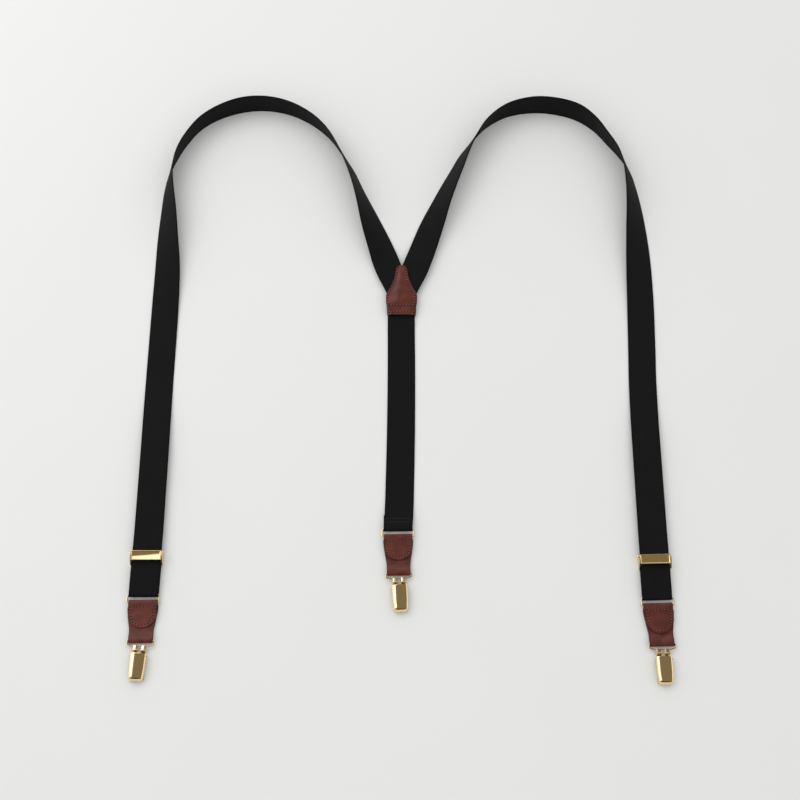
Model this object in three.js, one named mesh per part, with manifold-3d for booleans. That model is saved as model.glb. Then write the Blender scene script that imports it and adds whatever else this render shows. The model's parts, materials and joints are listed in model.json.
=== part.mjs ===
// Y-back clip suspenders laid out on a table: two shoulder straps stand on edge round their arches
// and meet at a leather yoke, with a rear strap below it, slide adjusters, leather tabs and lever clips.
// Millimetres, +Z up. The origin is the middle of the yoke's underside, which rests on the table;
// +Y runs from the clips to the arches.
import * as THREE from 'three';
import { mergeVertices } from 'three/addons/utils/BufferGeometryUtils.js';
import Module from 'manifold-3d';

const wasm = await Module();
wasm.setup();

// ---- driving dimensions ----
const GAP = 0.3; // running clearance between touching pieces
const FLOOR = 0.1; // underside of whatever lies on the table
const WEB_WIDTH = 25;
const WEB_THICK = 1.2;
const LEATHER_THICK = 1.1;
const WIRE_RADIUS = 0.75; // of the rectangular rings
const RING_SPAN = 27; // between the ring's cheeks, wire centre to wire centre
const RING_PITCH = 6.5; // between its two bars
const RING_CORNER = 1.6;
const HARDWARE_Z = 2.5; // height of the ring bars and the clip loops
const FOLD_RADIUS = WIRE_RADIUS + GAP + WEB_THICK / 2; // of the webbing's middle round a ring bar
const LAID_Z = FLOOR + WEB_THICK / 2; // middle of webbing that lies on the table
const RUN_Z = 5.2; // middle of the top layer where an adjuster slides
const STRAP_END_Y = -240; // where a shoulder strap hands over to its adjustable fold
const SAMPLES_PER_POINT = 3;
const TAB_LENGTH = 32.9; // ring's lower bar to clip loop bar

// A leg is one hardware set: the ring's middle, how far its adjuster sits above it, and how far each
// piece is turned in the plan, in degrees.
const LEGS = {
  left: {
    x: -217.9, y: -298, rise: 36.4, strapTurn: -0.5,
    adjusterTurn: 0, ringTurn: 0, tabTurn: 0.8, clipTurn: -2.5, pinSide: 1,
  },
  right: {
    x: 215.65, y: -300.8, rise: 35.8, strapTurn: -0.1,
    adjusterTurn: 1.6, ringTurn: 1.8, tabTurn: 1.5, clipTurn: 0.6, pinSide: -1,
  },
  rear: { x: -3.1, y: -239.5, ringTurn: 0.5, tabTurn: 1, clipTurn: 3.2 },
};

// Shoulder strap routes: x, y, lift of the low edge off the table, lean from flat in degrees.
const LEFT_ROUTE = [
  [1, -7.2, 2.7, 0], [-4.7, 6.7, 2.7, 0], [-11.2, 20.7, 2.7, 0], [-15.2, 31.7, 2.7, 1],
  [-19.2, 43.9, 1, 14], [-27.3, 66.8, 0, 32], [-34.8, 89.2, 0, 51], [-41.7, 109.1, 0, 63.3],
  [-49.9, 131.3, 0, 69.6], [-59.6, 150.9, 0, 76.2], [-72.2, 171.6, 0, 80.7],
  [-89.2, 188.6, 0, 84.5], [-111.2, 201.3, 0, 87], [-134.6, 206.7, 0, 89], [-158, 204.9, 0, 89.5],
  [-179.8, 196.3, 0, 86.5], [-197.9, 182.7, 0, 84], [-210.6, 164.1, 0, 83],
  [-218.6, 146.2, 0, 80.5], [-223.2, 128.1, 0, 73], [-224.2, 109, 0, 63], [-223, 84, 0, 48.2],
  [-221.7, 52.7, 0, 31.6], [-220.2, 21.8, 0, 15], [-219.9, -18, 0, 3], [-219.7, -60, 0, 0],
  [-219.5, -100, 0, 0], [-218.7, -135, 2.6, 0], [-218, -165, 4.5, 0], [-217.7, -203, 4.5, 0],
  [-217.4, -240, 4.5, 0],
];
const RIGHT_ROUTE = [
  [-0.8, -7.3, 4.15, 0], [5.5, 6.4, 4.15, 0], [12.1, 20.3, 4.15, 0], [16.3, 31.4, 4.15, 2],
  [20.4, 43.8, 1.6, 7.5], [28.5, 67.9, 0, 20], [37, 90.3, 0, 37], [45.4, 111.1, 0, 47.3],
  [54, 130.6, 0, 55.6], [61.7, 148.4, 0, 63.5], [71, 164.8, 0, 73], [83.9, 183.1, 0, 80],
  [104.2, 198.4, 0, 87.5], [129.2, 205, 0, 93], [152.9, 203.5, 0, 94.6], [174.3, 196.1, 0, 93.8],
  [190.3, 182.3, 0, 88], [202.2, 164.5, 0, 82.6], [211.8, 148.8, 0, 76.5], [218.1, 132.9, 0, 67.2],
  [221.2, 114.2, 0, 59], [223, 89, 0, 47], [223.5, 58.4, 0, 30.5], [223.5, 27.1, 0, 15],
  [222.6, -15.3, 0, 3], [220.8, -55, 0, 0], [218.7, -95, 0, 0], [217.2, -135, 2.6, 0],
  [216.5, -165, 4.5, 0], [216.1, -203, 4.5, 0], [215.7, -240, 4.5, 0],
];

// Rear strap route: distance above the ring's top bar, height of its middle, sideways bow.
const REAR_ROUTE = [
  [246, 1.95, 0], [226, 1.95, 0], [208, 1.95, 0.15], [190, LAID_Z, 0.4], [164, LAID_Z, 0.85],
  [144, LAID_Z, 1.1], [124, LAID_Z, 1.26], [105, LAID_Z, 1.34], [86, LAID_Z, 1.36],
  [67, LAID_Z, 1.25], [48, LAID_Z, 1.1], [30, LAID_Z, 0.95], [19, 1.9, 0.75], [14, 2.4, 0.6],
  [8, 3.2, 0.4], [3, 4.05, 0.2],
];

// ---- finishes ----
const webbing = () => new THREE.MeshStandardMaterial({ color: 0x1a1b1d, roughness: 0.85, metalness: 0 });
const leather = () => new THREE.MeshStandardMaterial({ color: 0x602e28, roughness: 0.5, metalness: 0 });
const gilt = () => new THREE.MeshStandardMaterial({ color: 0xd8be82, roughness: 0.15, metalness: 1 });
const padPlastic = () => new THREE.MeshStandardMaterial({ color: 0xe8e6df, roughness: 0.6, metalness: 0 });

// ---- solid helpers ----
const radians = (degrees) => (degrees * Math.PI) / 180;

function solidOf(geometry) {
  const bare = geometry.clone();
  bare.deleteAttribute('normal');
  bare.deleteAttribute('uv');
  const merged = mergeVertices(bare, 1e-3);
  return new wasm.Manifold(new wasm.Mesh({
    numProp: 3,
    vertProperties: Float32Array.from(merged.attributes.position.array),
    triVerts: Uint32Array.from(merged.index.array),
  }));
}

function geometryOf(solid) {
  const mesh = solid.getMesh();
  const geometry = new THREE.BufferGeometry();
  geometry.setAttribute('position', new THREE.BufferAttribute(Float32Array.from(mesh.vertProperties), 3));
  geometry.setIndex(new THREE.BufferAttribute(Uint32Array.from(mesh.triVerts), 1));
  geometry.computeVertexNormals();
  return geometry;
}

const join = (geometries) => geometryOf(geometries.map(solidOf).reduce((all, next) => all.add(next)));
const cut = (body, tools) => geometryOf(
  tools.map(solidOf).reduce((rest, tool) => rest.subtract(tool), solidOf(body)),
);
const common = (first, second) => geometryOf(solidOf(first).intersect(solidOf(second)));

// A block between two opposite corners.
function block([x0, y0, z0], [x1, y1, z1]) {
  const geometry = new THREE.BoxGeometry(x1 - x0, y1 - y0, z1 - z0);
  return geometry.translate((x0 + x1) / 2, (y0 + y1) / 2, (z0 + z1) / 2);
}

// A round bar along X, from x0 to x1, at a place in the side view.
function crossBar(x0, x1, y, z, radius, sides = 16) {
  const geometry = new THREE.CylinderGeometry(radius, radius, x1 - x0, sides);
  return geometry.rotateZ(Math.PI / 2).translate((x0 + x1) / 2, y, z);
}

// A side-view outline in (y, z), given depth across X about the middle.
function acrossX(shape, width, centre = 0) {
  const geometry = new THREE.ExtrudeGeometry(shape, { depth: width, bevelEnabled: false, curveSegments: 6 });
  geometry.applyMatrix4(new THREE.Matrix4().makeBasis(
    new THREE.Vector3(0, 1, 0), new THREE.Vector3(0, 0, 1), new THREE.Vector3(1, 0, 0),
  ));
  return geometry.translate(centre - width / 2, 0, 0);
}

// A plan outline in (x, y), raised from z0 to z1.
function upright(shape, z0, z1) {
  const options = { depth: z1 - z0, bevelEnabled: false, curveSegments: 8 };
  const geometry = new THREE.ExtrudeGeometry(shape, options);
  return geometry.translate(0, 0, z0);
}

const outline = (points) => new THREE.Shape(points.map(([u, v]) => new THREE.Vector2(u, v)));

function roundHole(u, v, radius) {
  const hole = new THREE.Path();
  hole.absarc(u, v, radius, 0, 2 * Math.PI, true);
  return hole;
}

// ---- webbing ----
// Each station holds the middle of the webbing, a unit vector across it and one out of its face.
function ribbon(stations) {
  const last = stations.length - 1;
  const geometry = new THREE.BoxGeometry(WEB_WIDTH, last, WEB_THICK, 1, last, 1);
  const place = geometry.attributes.position;
  for (let i = 0; i < place.count; i += 1) {
    const station = stations[Math.round(place.getY(i) + last / 2)];
    const point = station.centre.clone()
      .addScaledVector(station.across, place.getX(i))
      .addScaledVector(station.face, place.getZ(i));
    place.setXYZ(i, point.x, point.y, point.z);
  }
  return geometryOf(solidOf(geometry));
}

// The webbing is flat at both ends and stands on its low edge where it turns in the plan.
function shoulderStations(route, side) {
  const curve = new THREE.CatmullRomCurve3(
    route.map(([x, y, lift]) => new THREE.Vector3(x, y, lift)), false, 'catmullrom', 0.5,
  );
  const lean = new THREE.CatmullRomCurve3(
    route.map(([, , , angle]) => new THREE.Vector3(angle, 0, 0)), false, 'catmullrom', 0.5,
  );
  const steps = (route.length - 1) * SAMPLES_PER_POINT;
  const up = new THREE.Vector3(0, 0, 1);
  const stations = [];
  for (let i = 0; i <= steps; i += 1) {
    const at = curve.getPoint(i / steps);
    const along = curve.getTangent(i / steps).setZ(0).normalize();
    const roll = radians(lean.getPoint(i / steps).x);
    const level = new THREE.Vector3().crossVectors(up, along);
    const centre = new THREE.Vector3(at.x, at.y, at.z + FLOOR
      + (WEB_WIDTH / 2) * Math.abs(Math.sin(roll)) + (WEB_THICK / 2) * Math.abs(Math.cos(roll)));
    const across = level.clone().multiplyScalar(Math.cos(roll)).addScaledVector(up, side * Math.sin(roll));
    const face = level.clone().multiplyScalar(-side * Math.sin(roll)).addScaledVector(up, Math.cos(roll));
    stations.push({ centre, across, face });
  }
  return stations.reverse();
}

// Stations of webbing that runs in a side view: a list of (y, z, bow) places, dense round its folds.
// They run from the far end towards the ring, drifting sideways with the strap's own turn. The far end is
// square to the strap, and the rest is square to the bars that it folds round.
function sideStations(profile, x, y, strapTurn, acrossTurn) {
  return profile.map(([v, w, bow = 0], i) => {
    const turn = radians(i === 0 ? strapTurn : acrossTurn);
    const before = profile[Math.max(i - 1, 0)];
    const after = profile[Math.min(i + 1, profile.length - 1)];
    const slope = new THREE.Vector2(after[0] - before[0], after[1] - before[1]).normalize();
    return {
      centre: new THREE.Vector3(x - Math.tan(radians(strapTurn)) * v + bow, y + v, w),
      across: new THREE.Vector3(Math.cos(turn), Math.sin(turn), 0),
      face: new THREE.Vector3(0, slope.y, -slope.x),
    };
  });
}

// A half turn of (y, z) middles about a bar, from its top round one side to its underside.
function foldRound(y, z, radius, towardsRing, steps = 8) {
  const turn = [];
  for (let i = 0; i <= steps; i += 1) {
    const angle = (Math.PI * i) / steps;
    turn.push([y - towardsRing * radius * Math.sin(angle), z + radius * Math.cos(angle)]);
  }
  return turn;
}

// ---- yoke ----
const YOKE_TOP = 26.4;
const YOKE_BOTTOM = -26.7;
const YOKE_FOOT = 13.1; // half width at the foot
const YOKE_HIP = { x: 14.5, y: -8.5 }; // widest place
const YOKE_NECK = { x: 6.2, y: 17.5 };
const YOKE_UNDERSIDES = { back: 0, front: 5.75 };

function bellOutline() {
  const foot = YOKE_FOOT;
  const hip = YOKE_HIP;
  const neck = YOKE_NECK;
  const bell = new THREE.Shape();
  bell.moveTo(0, YOKE_BOTTOM);
  bell.lineTo(foot - 1.5, YOKE_BOTTOM);
  bell.quadraticCurveTo(foot - 0.1, YOKE_BOTTOM, foot, YOKE_BOTTOM + 1.5);
  bell.quadraticCurveTo(foot + 0.6, -16, hip.x, hip.y);
  bell.bezierCurveTo(hip.x + 0.5, hip.y + 5.5, 11.5, 0.5, 10, 4.8);
  bell.bezierCurveTo(8.4, 9.5, neck.x + 1, neck.y - 4, neck.x, neck.y);
  bell.bezierCurveTo(neck.x - 0.8, neck.y + 3, neck.x - 1.4, YOKE_TOP, 0, YOKE_TOP);
  bell.bezierCurveTo(-neck.x + 1.4, YOKE_TOP, -neck.x + 0.8, neck.y + 3, -neck.x, neck.y);
  bell.bezierCurveTo(-neck.x - 1, neck.y - 4, -8.4, 9.5, -10, 4.8);
  bell.bezierCurveTo(-11.5, 0.5, -hip.x - 0.5, hip.y + 5.5, -hip.x, hip.y);
  bell.quadraticCurveTo(-foot - 0.6, -16, -foot, YOKE_BOTTOM + 1.5);
  bell.quadraticCurveTo(-foot + 0.1, YOKE_BOTTOM, -foot + 1.5, YOKE_BOTTOM);
  bell.closePath();
  return bell;
}

// ---- rings and tabs, about the ring's middle ----
function ringGeometry() {
  const halfX = RING_SPAN / 2 - RING_CORNER;
  const halfY = RING_PITCH / 2 - RING_CORNER;
  const points = [];
  for (const [sx, sy, start] of [[1, 1, 0], [-1, 1, 90], [-1, -1, 180], [1, -1, 270]]) {
    for (const step of [0, 30, 60, 90]) {
      const angle = radians(start + step);
      points.push(new THREE.Vector3(
        sx * halfX + RING_CORNER * Math.cos(angle), sy * halfY + RING_CORNER * Math.sin(angle), 0,
      ));
    }
  }
  const corners = new THREE.CatmullRomCurve3(points, true, 'catmullrom', 0.1);
  const geometry = new THREE.TubeGeometry(corners, 48, WIRE_RADIUS, 8, true);
  return geometryOf(solidOf(geometry.translate(0, 0, HARDWARE_Z)));
}

const TAB_TOP = -RING_PITCH / 2; // the ring's lower bar
const TAB_FOOT = TAB_TOP - TAB_LENGTH; // the clip's loop bar
const EYE_RADIUS = WIRE_RADIUS + GAP;
const EYE_WALL = EYE_RADIUS + LEATHER_THICK;
const FOOT_EYE_RADIUS = 1.3; // room for a loop bar that lies askew
const FOOT_EYE_WALL = FOOT_EYE_RADIUS + LEATHER_THICK - 0.05;
const TAB_OUTLINE = [ // distance below the ring's bar, half width
  [-EYE_WALL - 1, 12.3], [1.6, 12.3], [3.2, 12.75], [7.5, 12.55], [12.8, 11.8], [18, 11], [23.2, 10.2],
  [28, 10.05], [TAB_LENGTH + FOOT_EYE_WALL + 1, 10],
];
const FLAP = { length: 24.5, straight: 11, inset: 0.7, start: 7.5, tipHalf: 7 };
const EYE_TAPER = 8; // length over which the layers close up below an eye

// Side view of the folded leather: an eye round each bar, and two sewn layers between them.
function tabSide() {
  const middle = FLOOR + 2 * LEATHER_THICK;
  const crest = HARDWARE_Z + EYE_WALL;
  const side = new THREE.Shape();
  side.moveTo(TAB_TOP, HARDWARE_Z - EYE_WALL);
  side.absarc(TAB_TOP, HARDWARE_Z, EYE_WALL, -Math.PI / 2, Math.PI / 2, false);
  side.quadraticCurveTo(TAB_TOP - EYE_TAPER / 2, crest, TAB_TOP - EYE_TAPER, middle + LEATHER_THICK);
  side.lineTo(TAB_TOP - EYE_TAPER, middle);
  side.lineTo(TAB_FOOT + EYE_TAPER + 1, middle);
  side.quadraticCurveTo(TAB_FOOT + EYE_TAPER / 2, crest, TAB_FOOT, HARDWARE_Z + FOOT_EYE_WALL);
  side.absarc(TAB_FOOT, HARDWARE_Z, FOOT_EYE_WALL, Math.PI / 2, 1.5 * Math.PI, false);
  side.closePath();
  side.holes.push(
    roundHole(TAB_TOP, HARDWARE_Z, EYE_RADIUS),
    roundHole(TAB_FOOT, HARDWARE_Z, FOOT_EYE_RADIUS),
  );
  return side;
}

function tabGeometry() {
  const left = TAB_OUTLINE.map(([below, half]) => [-half, TAB_TOP - below]);
  const right = TAB_OUTLINE.map(([below, half]) => [half, TAB_TOP - below]).reverse();
  const plan = outline([...left, ...right]);
  const widest = 2 * Math.max(...TAB_OUTLINE.map(([, half]) => half));
  const strip = common(acrossX(tabSide(), widest + 2), upright(plan, -1, HARDWARE_Z + EYE_WALL + 1));
  const base = FLOOR + 2 * LEATHER_THICK;
  const edge = widest / 2 - FLAP.inset;
  const bend = TAB_TOP - FLAP.straight;
  const tip = TAB_TOP - FLAP.length;
  const flap = new THREE.Shape();
  flap.moveTo(-edge, TAB_TOP - FLAP.start);
  flap.lineTo(-edge, bend);
  flap.bezierCurveTo(-edge, bend - 7, -FLAP.tipHalf, tip, 0, tip);
  flap.bezierCurveTo(FLAP.tipHalf, tip, edge, bend - 7, edge, bend);
  flap.lineTo(edge, TAB_TOP - FLAP.start);
  flap.closePath();
  const raised = common(upright(flap, base - 0.2, base + LEATHER_THICK), upright(plan, -1, base + 5));
  return join([strip, raised]);
}

// ---- slide adjuster, about the middle of its lever plate ----
const CHEEK_INNER = 13.1;
const CHEEK_THICK = 0.65;
const CHEEK_SIDE = [
  [-7.2, 0.4], [-7.2, 3.4], [-4.3, 6], [-2, 8.2], [3.4, 8.6], [4.4, 7.6], [4.4, 1], [3.6, 0.3], [-6.6, 0.3],
];
const LEVER = { halfX: 12.8, halfY: 4.3, base: 7.8, top: 8.8, rim: 1.3, recess: 0.4, lugX: 11.6 };
const PIVOT = { y: 2.6, z: 7.6, radius: 0.7, headRadius: 1.3, headLength: 1.4 };
const SEWN_BAR = { y: -6.2, z: 2.2, radius: 0.65 };
const ANVIL = { halfY: 3.6, top: RUN_Z - WEB_THICK / 2 - GAP, thick: 1 };

function adjusterFrame() {
  const reach = CHEEK_INNER + GAP;
  const outer = CHEEK_INNER + CHEEK_THICK;
  const cheeks = [-1, 1].map(
    (side) => acrossX(outline(CHEEK_SIDE), CHEEK_THICK, side * (CHEEK_INNER + CHEEK_THICK / 2)),
  );
  const anvil = block([-reach, -ANVIL.halfY, ANVIL.top - ANVIL.thick], [reach, ANVIL.halfY, ANVIL.top]);
  const bar = crossBar(-reach, reach, SEWN_BAR.y, SEWN_BAR.z, SEWN_BAR.radius);
  const pinHole = crossBar(-outer - 1, outer + 1, PIVOT.y, PIVOT.z, PIVOT.radius + GAP / 2, 12);
  return cut(join([...cheeks, anvil, bar]), [pinHole]);
}

// The pin's head stands on one cheek.
function adjusterPin(side) {
  const reach = CHEEK_INNER + CHEEK_THICK;
  const near = side * (reach + GAP);
  const far = near + side * PIVOT.headLength;
  const shank = crossBar(-reach, reach, PIVOT.y, PIVOT.z, PIVOT.radius, 12);
  const collar = crossBar(Math.min(0, far), Math.max(0, far), PIVOT.y, PIVOT.z, PIVOT.radius, 12);
  const head = crossBar(Math.min(near, far), Math.max(near, far), PIVOT.y, PIVOT.z, PIVOT.headRadius, 12);
  return join([shank, collar, head]);
}

function adjusterLever() {
  const { halfX, halfY, base, top, rim, recess, lugX } = LEVER;
  const plate = block([-halfX, -halfY, base], [halfX, halfY, top]);
  const panel = block([-halfX + rim, -halfY + rim, top - recess], [halfX - rim, halfY - rim, top + 1]);
  const lugs = [-1, 1].map((side) => block(
    [side * lugX - 0.6, PIVOT.y - 1.6, PIVOT.z - 1.1], [side * lugX + 0.6, PIVOT.y + 1, base + GAP],
  ));
  const camBase = RUN_Z + WEB_THICK / 2 + GAP;
  const cam = block([-lugX, PIVOT.y - 2.6, camBase], [lugX, PIVOT.y - 1.2, base + GAP]);
  const bore = crossBar(-20, 20, PIVOT.y, PIVOT.z, PIVOT.radius + GAP, 12);
  return cut(join([plate, ...lugs, cam]), [panel, bore]);
}

// ---- clip, about the middle of its loop bar ----
const LOOP = { half: 10.9, drop: 3.3, neckHalf: 7.2, neckY: -4.7, radius: 0.6 };
const ARM = { x: 4.2, width: 3 };
const ARM_SIDE = [[-4.2, 1.9], [-4.2, 3], [-5.6, 3], [-12.6, 1], [-12.6, 0.1], [-10.8, 0.1]];
const BASE = { half: 6.2, topY: -12.2, endY: -33.4, corner: 2.4, top: 1 };
const CLIP_PIN = { y: -13.4, z: 4.8, radius: 0.7 };
const COVER = {
  topY: -11.7, noseY: -34.4, half: 6.95, noseHalf: 6.1, wall: 0.8, skirt: 2, shoulder: 5.4, roof: 8.2,
};
const EAR = { x: 5.1, thick: 0.7 };
// Ear outlines are measured from the pin's y.
const EAR_SIDE = [[-2.5, 0.5], [1.2, 0.5], [1.2, 5.2], [0.7, 5.9], [-0.7, 5.9], [-1.6, 5]];
const JAW = { half: 4.6, z: 3.7, thick: 0.7, startY: -15.6, endY: -32.4, earX: 4.1 };
const JAW_EAR_SIDE = [[-4, 3.7], [-1.8, 3.7], [1.2, 4.2], [1.2, 5.4], [0.6, 6], [-1.4, 6], [-4, 4.4]];
const PAD = { half: 5, startY: -16.4, endY: -32.2, pitch: 1.55, tooth: 0.3, top: 2, mouth: 0.4 };
const LIP = { half: 4.8, thick: 0.8 };

const atPin = (side) => outline(side.map(([y, z]) => [y + CLIP_PIN.y, z]));
const pinTool = (spare) => crossBar(-9, 9, CLIP_PIN.y, CLIP_PIN.z, CLIP_PIN.radius + spare, 12);

// A straight length of wire between two places at the loop's height.
function wireBetween([x0, y0], [x1, y1]) {
  const wire = new THREE.CylinderGeometry(LOOP.radius, LOOP.radius, Math.hypot(x1 - x0, y1 - y0), 12);
  return wire.rotateZ(Math.atan2(y1 - y0, x1 - x0) - Math.PI / 2)
    .translate((x0 + x1) / 2, (y0 + y1) / 2, HARDWARE_Z);
}

function clipBase() {
  const corners = [
    [-LOOP.half, 0], [-LOOP.half, -LOOP.drop], [-LOOP.neckHalf, LOOP.neckY],
    [LOOP.neckHalf, LOOP.neckY], [LOOP.half, -LOOP.drop], [LOOP.half, 0],
  ];
  const wires = corners.map((corner, i) => wireBetween(corner, corners[(i + 1) % corners.length]));
  const knees = corners.map(
    ([x, y]) => new THREE.SphereGeometry(LOOP.radius, 12, 8).translate(x, y, HARDWARE_Z),
  );
  const arms = [-1, 1].map((side) => acrossX(outline(ARM_SIDE), ARM.width, side * ARM.x));
  const { half, topY, endY, corner } = BASE;
  const plate = new THREE.Shape();
  plate.moveTo(-half, topY);
  plate.lineTo(-half, endY + corner);
  plate.quadraticCurveTo(-half, endY, -half + corner, endY);
  plate.lineTo(half - corner, endY);
  plate.quadraticCurveTo(half, endY, half, endY + corner);
  plate.lineTo(half, topY);
  plate.closePath();
  const ears = [-1, 1].map((side) => acrossX(atPin(EAR_SIDE), EAR.thick, side * EAR.x));
  const lip = block([-LIP.half, endY + 0.1, 0.5], [LIP.half, endY + 0.1 + LIP.thick, PAD.top]);
  const parts = [...wires, ...knees, ...arms, upright(plate, FLOOR, BASE.top), ...ears, lip];
  return cut(join(parts), [pinTool(GAP / 2)]);
}

// Toothed grip pad from a flat back to a ridged face, with its ridges up (1) or down (-1).
function gripPad(back, face, ridge) {
  const root = face - ridge * PAD.tooth;
  const points = [];
  for (let y = PAD.startY; y > PAD.endY + 0.1; y -= PAD.pitch) {
    points.push([y, root], [Math.max(y - PAD.pitch / 2, PAD.endY + 0.05), face]);
  }
  points.push([PAD.endY, root], [PAD.endY, back], [PAD.startY, back]);
  return geometryOf(solidOf(acrossX(outline(ridge > 0 ? points.reverse() : points), 2 * PAD.half)));
}

function clipJaw() {
  const plate = block([-JAW.half, JAW.endY, JAW.z], [JAW.half, JAW.startY, JAW.z + JAW.thick]);
  const ears = [-1, 1].map((side) => acrossX(atPin(JAW_EAR_SIDE), JAW.thick, side * JAW.earX));
  return cut(join([plate, ...ears]), [pinTool(GAP)]);
}

// The cover is a crowned shell: an arched section along the clip, ended by a steep rounded nose.
// The blank is its outside, and a smaller blank that runs past its open sides is its hollow.
function coverBlank(inset) {
  const hollow = inset > 0;
  const half = COVER.half - inset;
  const noseHalf = COVER.noseHalf - inset;
  const roof = COVER.roof - inset;
  const shoulder = COVER.shoulder - inset;
  const skirt = hollow ? -1 : COVER.skirt;
  const nose = COVER.noseY + inset;
  const crown = new THREE.Shape();
  crown.moveTo(-half, skirt);
  crown.lineTo(half, skirt);
  crown.lineTo(half, shoulder);
  crown.bezierCurveTo(half, shoulder + 1.8, 4.2, roof, 0, roof);
  crown.bezierCurveTo(-4.2, roof, -half, shoulder + 1.8, -half, shoulder);
  crown.closePath();
  const length = COVER.topY - COVER.noseY + 2;
  const arch = new THREE.ExtrudeGeometry(crown, { depth: length, bevelEnabled: false, curveSegments: 5 });
  arch.rotateX(Math.PI / 2).translate(0, COVER.topY + (hollow ? 1 : 0), 0);
  const side = new THREE.Shape();
  side.moveTo(COVER.topY + 2, -2);
  side.lineTo(COVER.topY + 2, roof + 1);
  side.lineTo(nose + 5, roof + 1);
  side.bezierCurveTo(nose + 1.4, roof + 0.4, nose, roof - 0.6, nose, roof - 3);
  side.lineTo(nose, -2);
  side.closePath();
  const flare = COVER.topY - 12;
  const rightHalf = [
    [noseHalf - 1.8, nose], [noseHalf - 0.4, nose + 0.9], [noseHalf + 0.3, nose + 3],
    [half, flare], [half + 1, flare], [half + 1, COVER.topY + 2],
  ];
  const leftHalf = rightHalf.map(([x, y]) => [-x, y]).reverse();
  const plan = outline([...leftHalf, ...rightHalf]);
  return common(common(arch, acrossX(side, 40)), upright(plan, -3, COVER.roof + 4));
}

function clipPin() {
  const reach = COVER.half + 0.5;
  return geometryOf(solidOf(crossBar(-reach, reach, CLIP_PIN.y, CLIP_PIN.z, CLIP_PIN.radius, 12)));
}

// ---- assembly ----
const suspenders = new THREE.Group();

function add(name, geometry, material, parent = suspenders) {
  const mesh = new THREE.Mesh(geometry, material);
  mesh.name = name;
  parent.add(mesh);
}

function placed(x, y, turn) {
  const group = new THREE.Group();
  group.position.set(x, y, 0);
  group.rotation.z = radians(turn);
  suspenders.add(group);
  return group;
}

// The plan point that lies a distance along a turned piece from (x, y).
function planPoint(x, y, turn, along) {
  return [x - Math.sin(radians(turn)) * along, y + Math.cos(radians(turn)) * along];
}

const patch = (underside) => upright(bellOutline(), underside, underside + LEATHER_THICK);
add('yoke_back', patch(YOKE_UNDERSIDES.back), leather());
add('yoke_front', patch(YOKE_UNDERSIDES.front), leather());
add('left_strap', ribbon(shoulderStations(LEFT_ROUTE, 1)), webbing());
add('right_strap', ribbon(shoulderStations(RIGHT_ROUTE, -1)), webbing());

// Rear strap: level under the yoke, down to the table, then over its sewn end and round the ring's top bar.
const RING_BAR = RING_PITCH / 2;
const REAR_TURN = -0.81; // of the line from the ring to the yoke's middle
const rearProfile = [
  ...REAR_ROUTE.map(([above, height, bow]) => [RING_BAR + above, height, bow]),
  ...foldRound(RING_BAR, HARDWARE_Z, FOLD_RADIUS, 1),
  [RING_BAR + 7, LAID_Z], [RING_BAR + 13.5, LAID_Z],
];
const rearStations = sideStations(rearProfile, LEGS.rear.x, LEGS.rear.y, REAR_TURN, LEGS.rear.ringTurn);
add('rear_strap', ribbon(rearStations.reverse()), webbing());

// The adjustable fold: through the adjuster, round the ring's top bar and back to the adjuster's sewn bar.
function foldProfile(leg) {
  const sewnBar = leg.rise + SEWN_BAR.y;
  const wrap = SEWN_BAR.radius + GAP - 0.05 + WEB_THICK / 2;
  return [
    [STRAP_END_Y - GAP - leg.y, RUN_Z], [leg.rise + 6, RUN_Z], [leg.rise - 14, RUN_Z],
    [RING_BAR + 10, 4.6], [RING_BAR + 3, HARDWARE_Z + FOLD_RADIUS],
    ...foldRound(RING_BAR, HARDWARE_Z, FOLD_RADIUS, 1),
    [RING_BAR + 6, LAID_Z], [sewnBar - 4, LAID_Z],
    ...foldRound(sewnBar, SEWN_BAR.z, wrap, -1).reverse(),
    [sewnBar - 3, 3.4], [sewnBar - 6, 2.4], [sewnBar - 12, 2.2],
  ];
}

for (const side of ['left', 'right']) {
  const leg = LEGS[side];
  const fold = sideStations(foldProfile(leg), leg.x, leg.y, leg.strapTurn, leg.adjusterTurn);
  add(`${side}_strap_fold`, ribbon(fold.reverse()), webbing());
  const adjusterX = leg.x - Math.tan(radians(leg.strapTurn)) * leg.rise;
  const adjuster = placed(adjusterX, leg.y + leg.rise, leg.adjusterTurn);
  add(`${side}_adjuster_frame`, adjusterFrame(), gilt(), adjuster);
  add(`${side}_adjuster_pin`, adjusterPin(leg.pinSide), gilt(), adjuster);
  add(`${side}_adjuster_lever`, adjusterLever(), gilt(), adjuster);
}

for (const [side, leg] of Object.entries(LEGS)) {
  add(`${side}_ring`, ringGeometry(), gilt(), placed(leg.x, leg.y, leg.ringTurn));
  const [barX, barY] = planPoint(leg.x, leg.y, leg.ringTurn, TAB_TOP);
  const tab = placed(...planPoint(barX, barY, leg.tabTurn, -TAB_TOP), leg.tabTurn);
  add(`${side}_tab`, tabGeometry(), leather(), tab);
  const clip = placed(...planPoint(barX, barY, leg.tabTurn, -TAB_LENGTH), leg.clipTurn);
  add(`${side}_clip_base`, clipBase(), gilt(), clip);
  add(`${side}_clip_pin`, clipPin(), gilt(), clip);
  add(`${side}_clip_back_pad`, gripPad(BASE.top + GAP, PAD.top, 1), padPlastic(), clip);
  add(`${side}_clip_jaw`, clipJaw(), gilt(), clip);
  add(`${side}_clip_front_pad`, gripPad(JAW.z - GAP, PAD.top + PAD.mouth, -1), padPlastic(), clip);
  add(`${side}_clip_cover`, cut(coverBlank(0), [coverBlank(COVER.wall), pinTool(GAP / 2)]), gilt(), clip);
}

export default suspenders;
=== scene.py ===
"""Visual model of Y-back clip suspenders: webbing, leather, gilt rings, adjusters and lever clips."""

import json
import logging
import math
from dataclasses import dataclass, field
from enum import Enum
from typing import Callable, Iterable, Sequence

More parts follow.
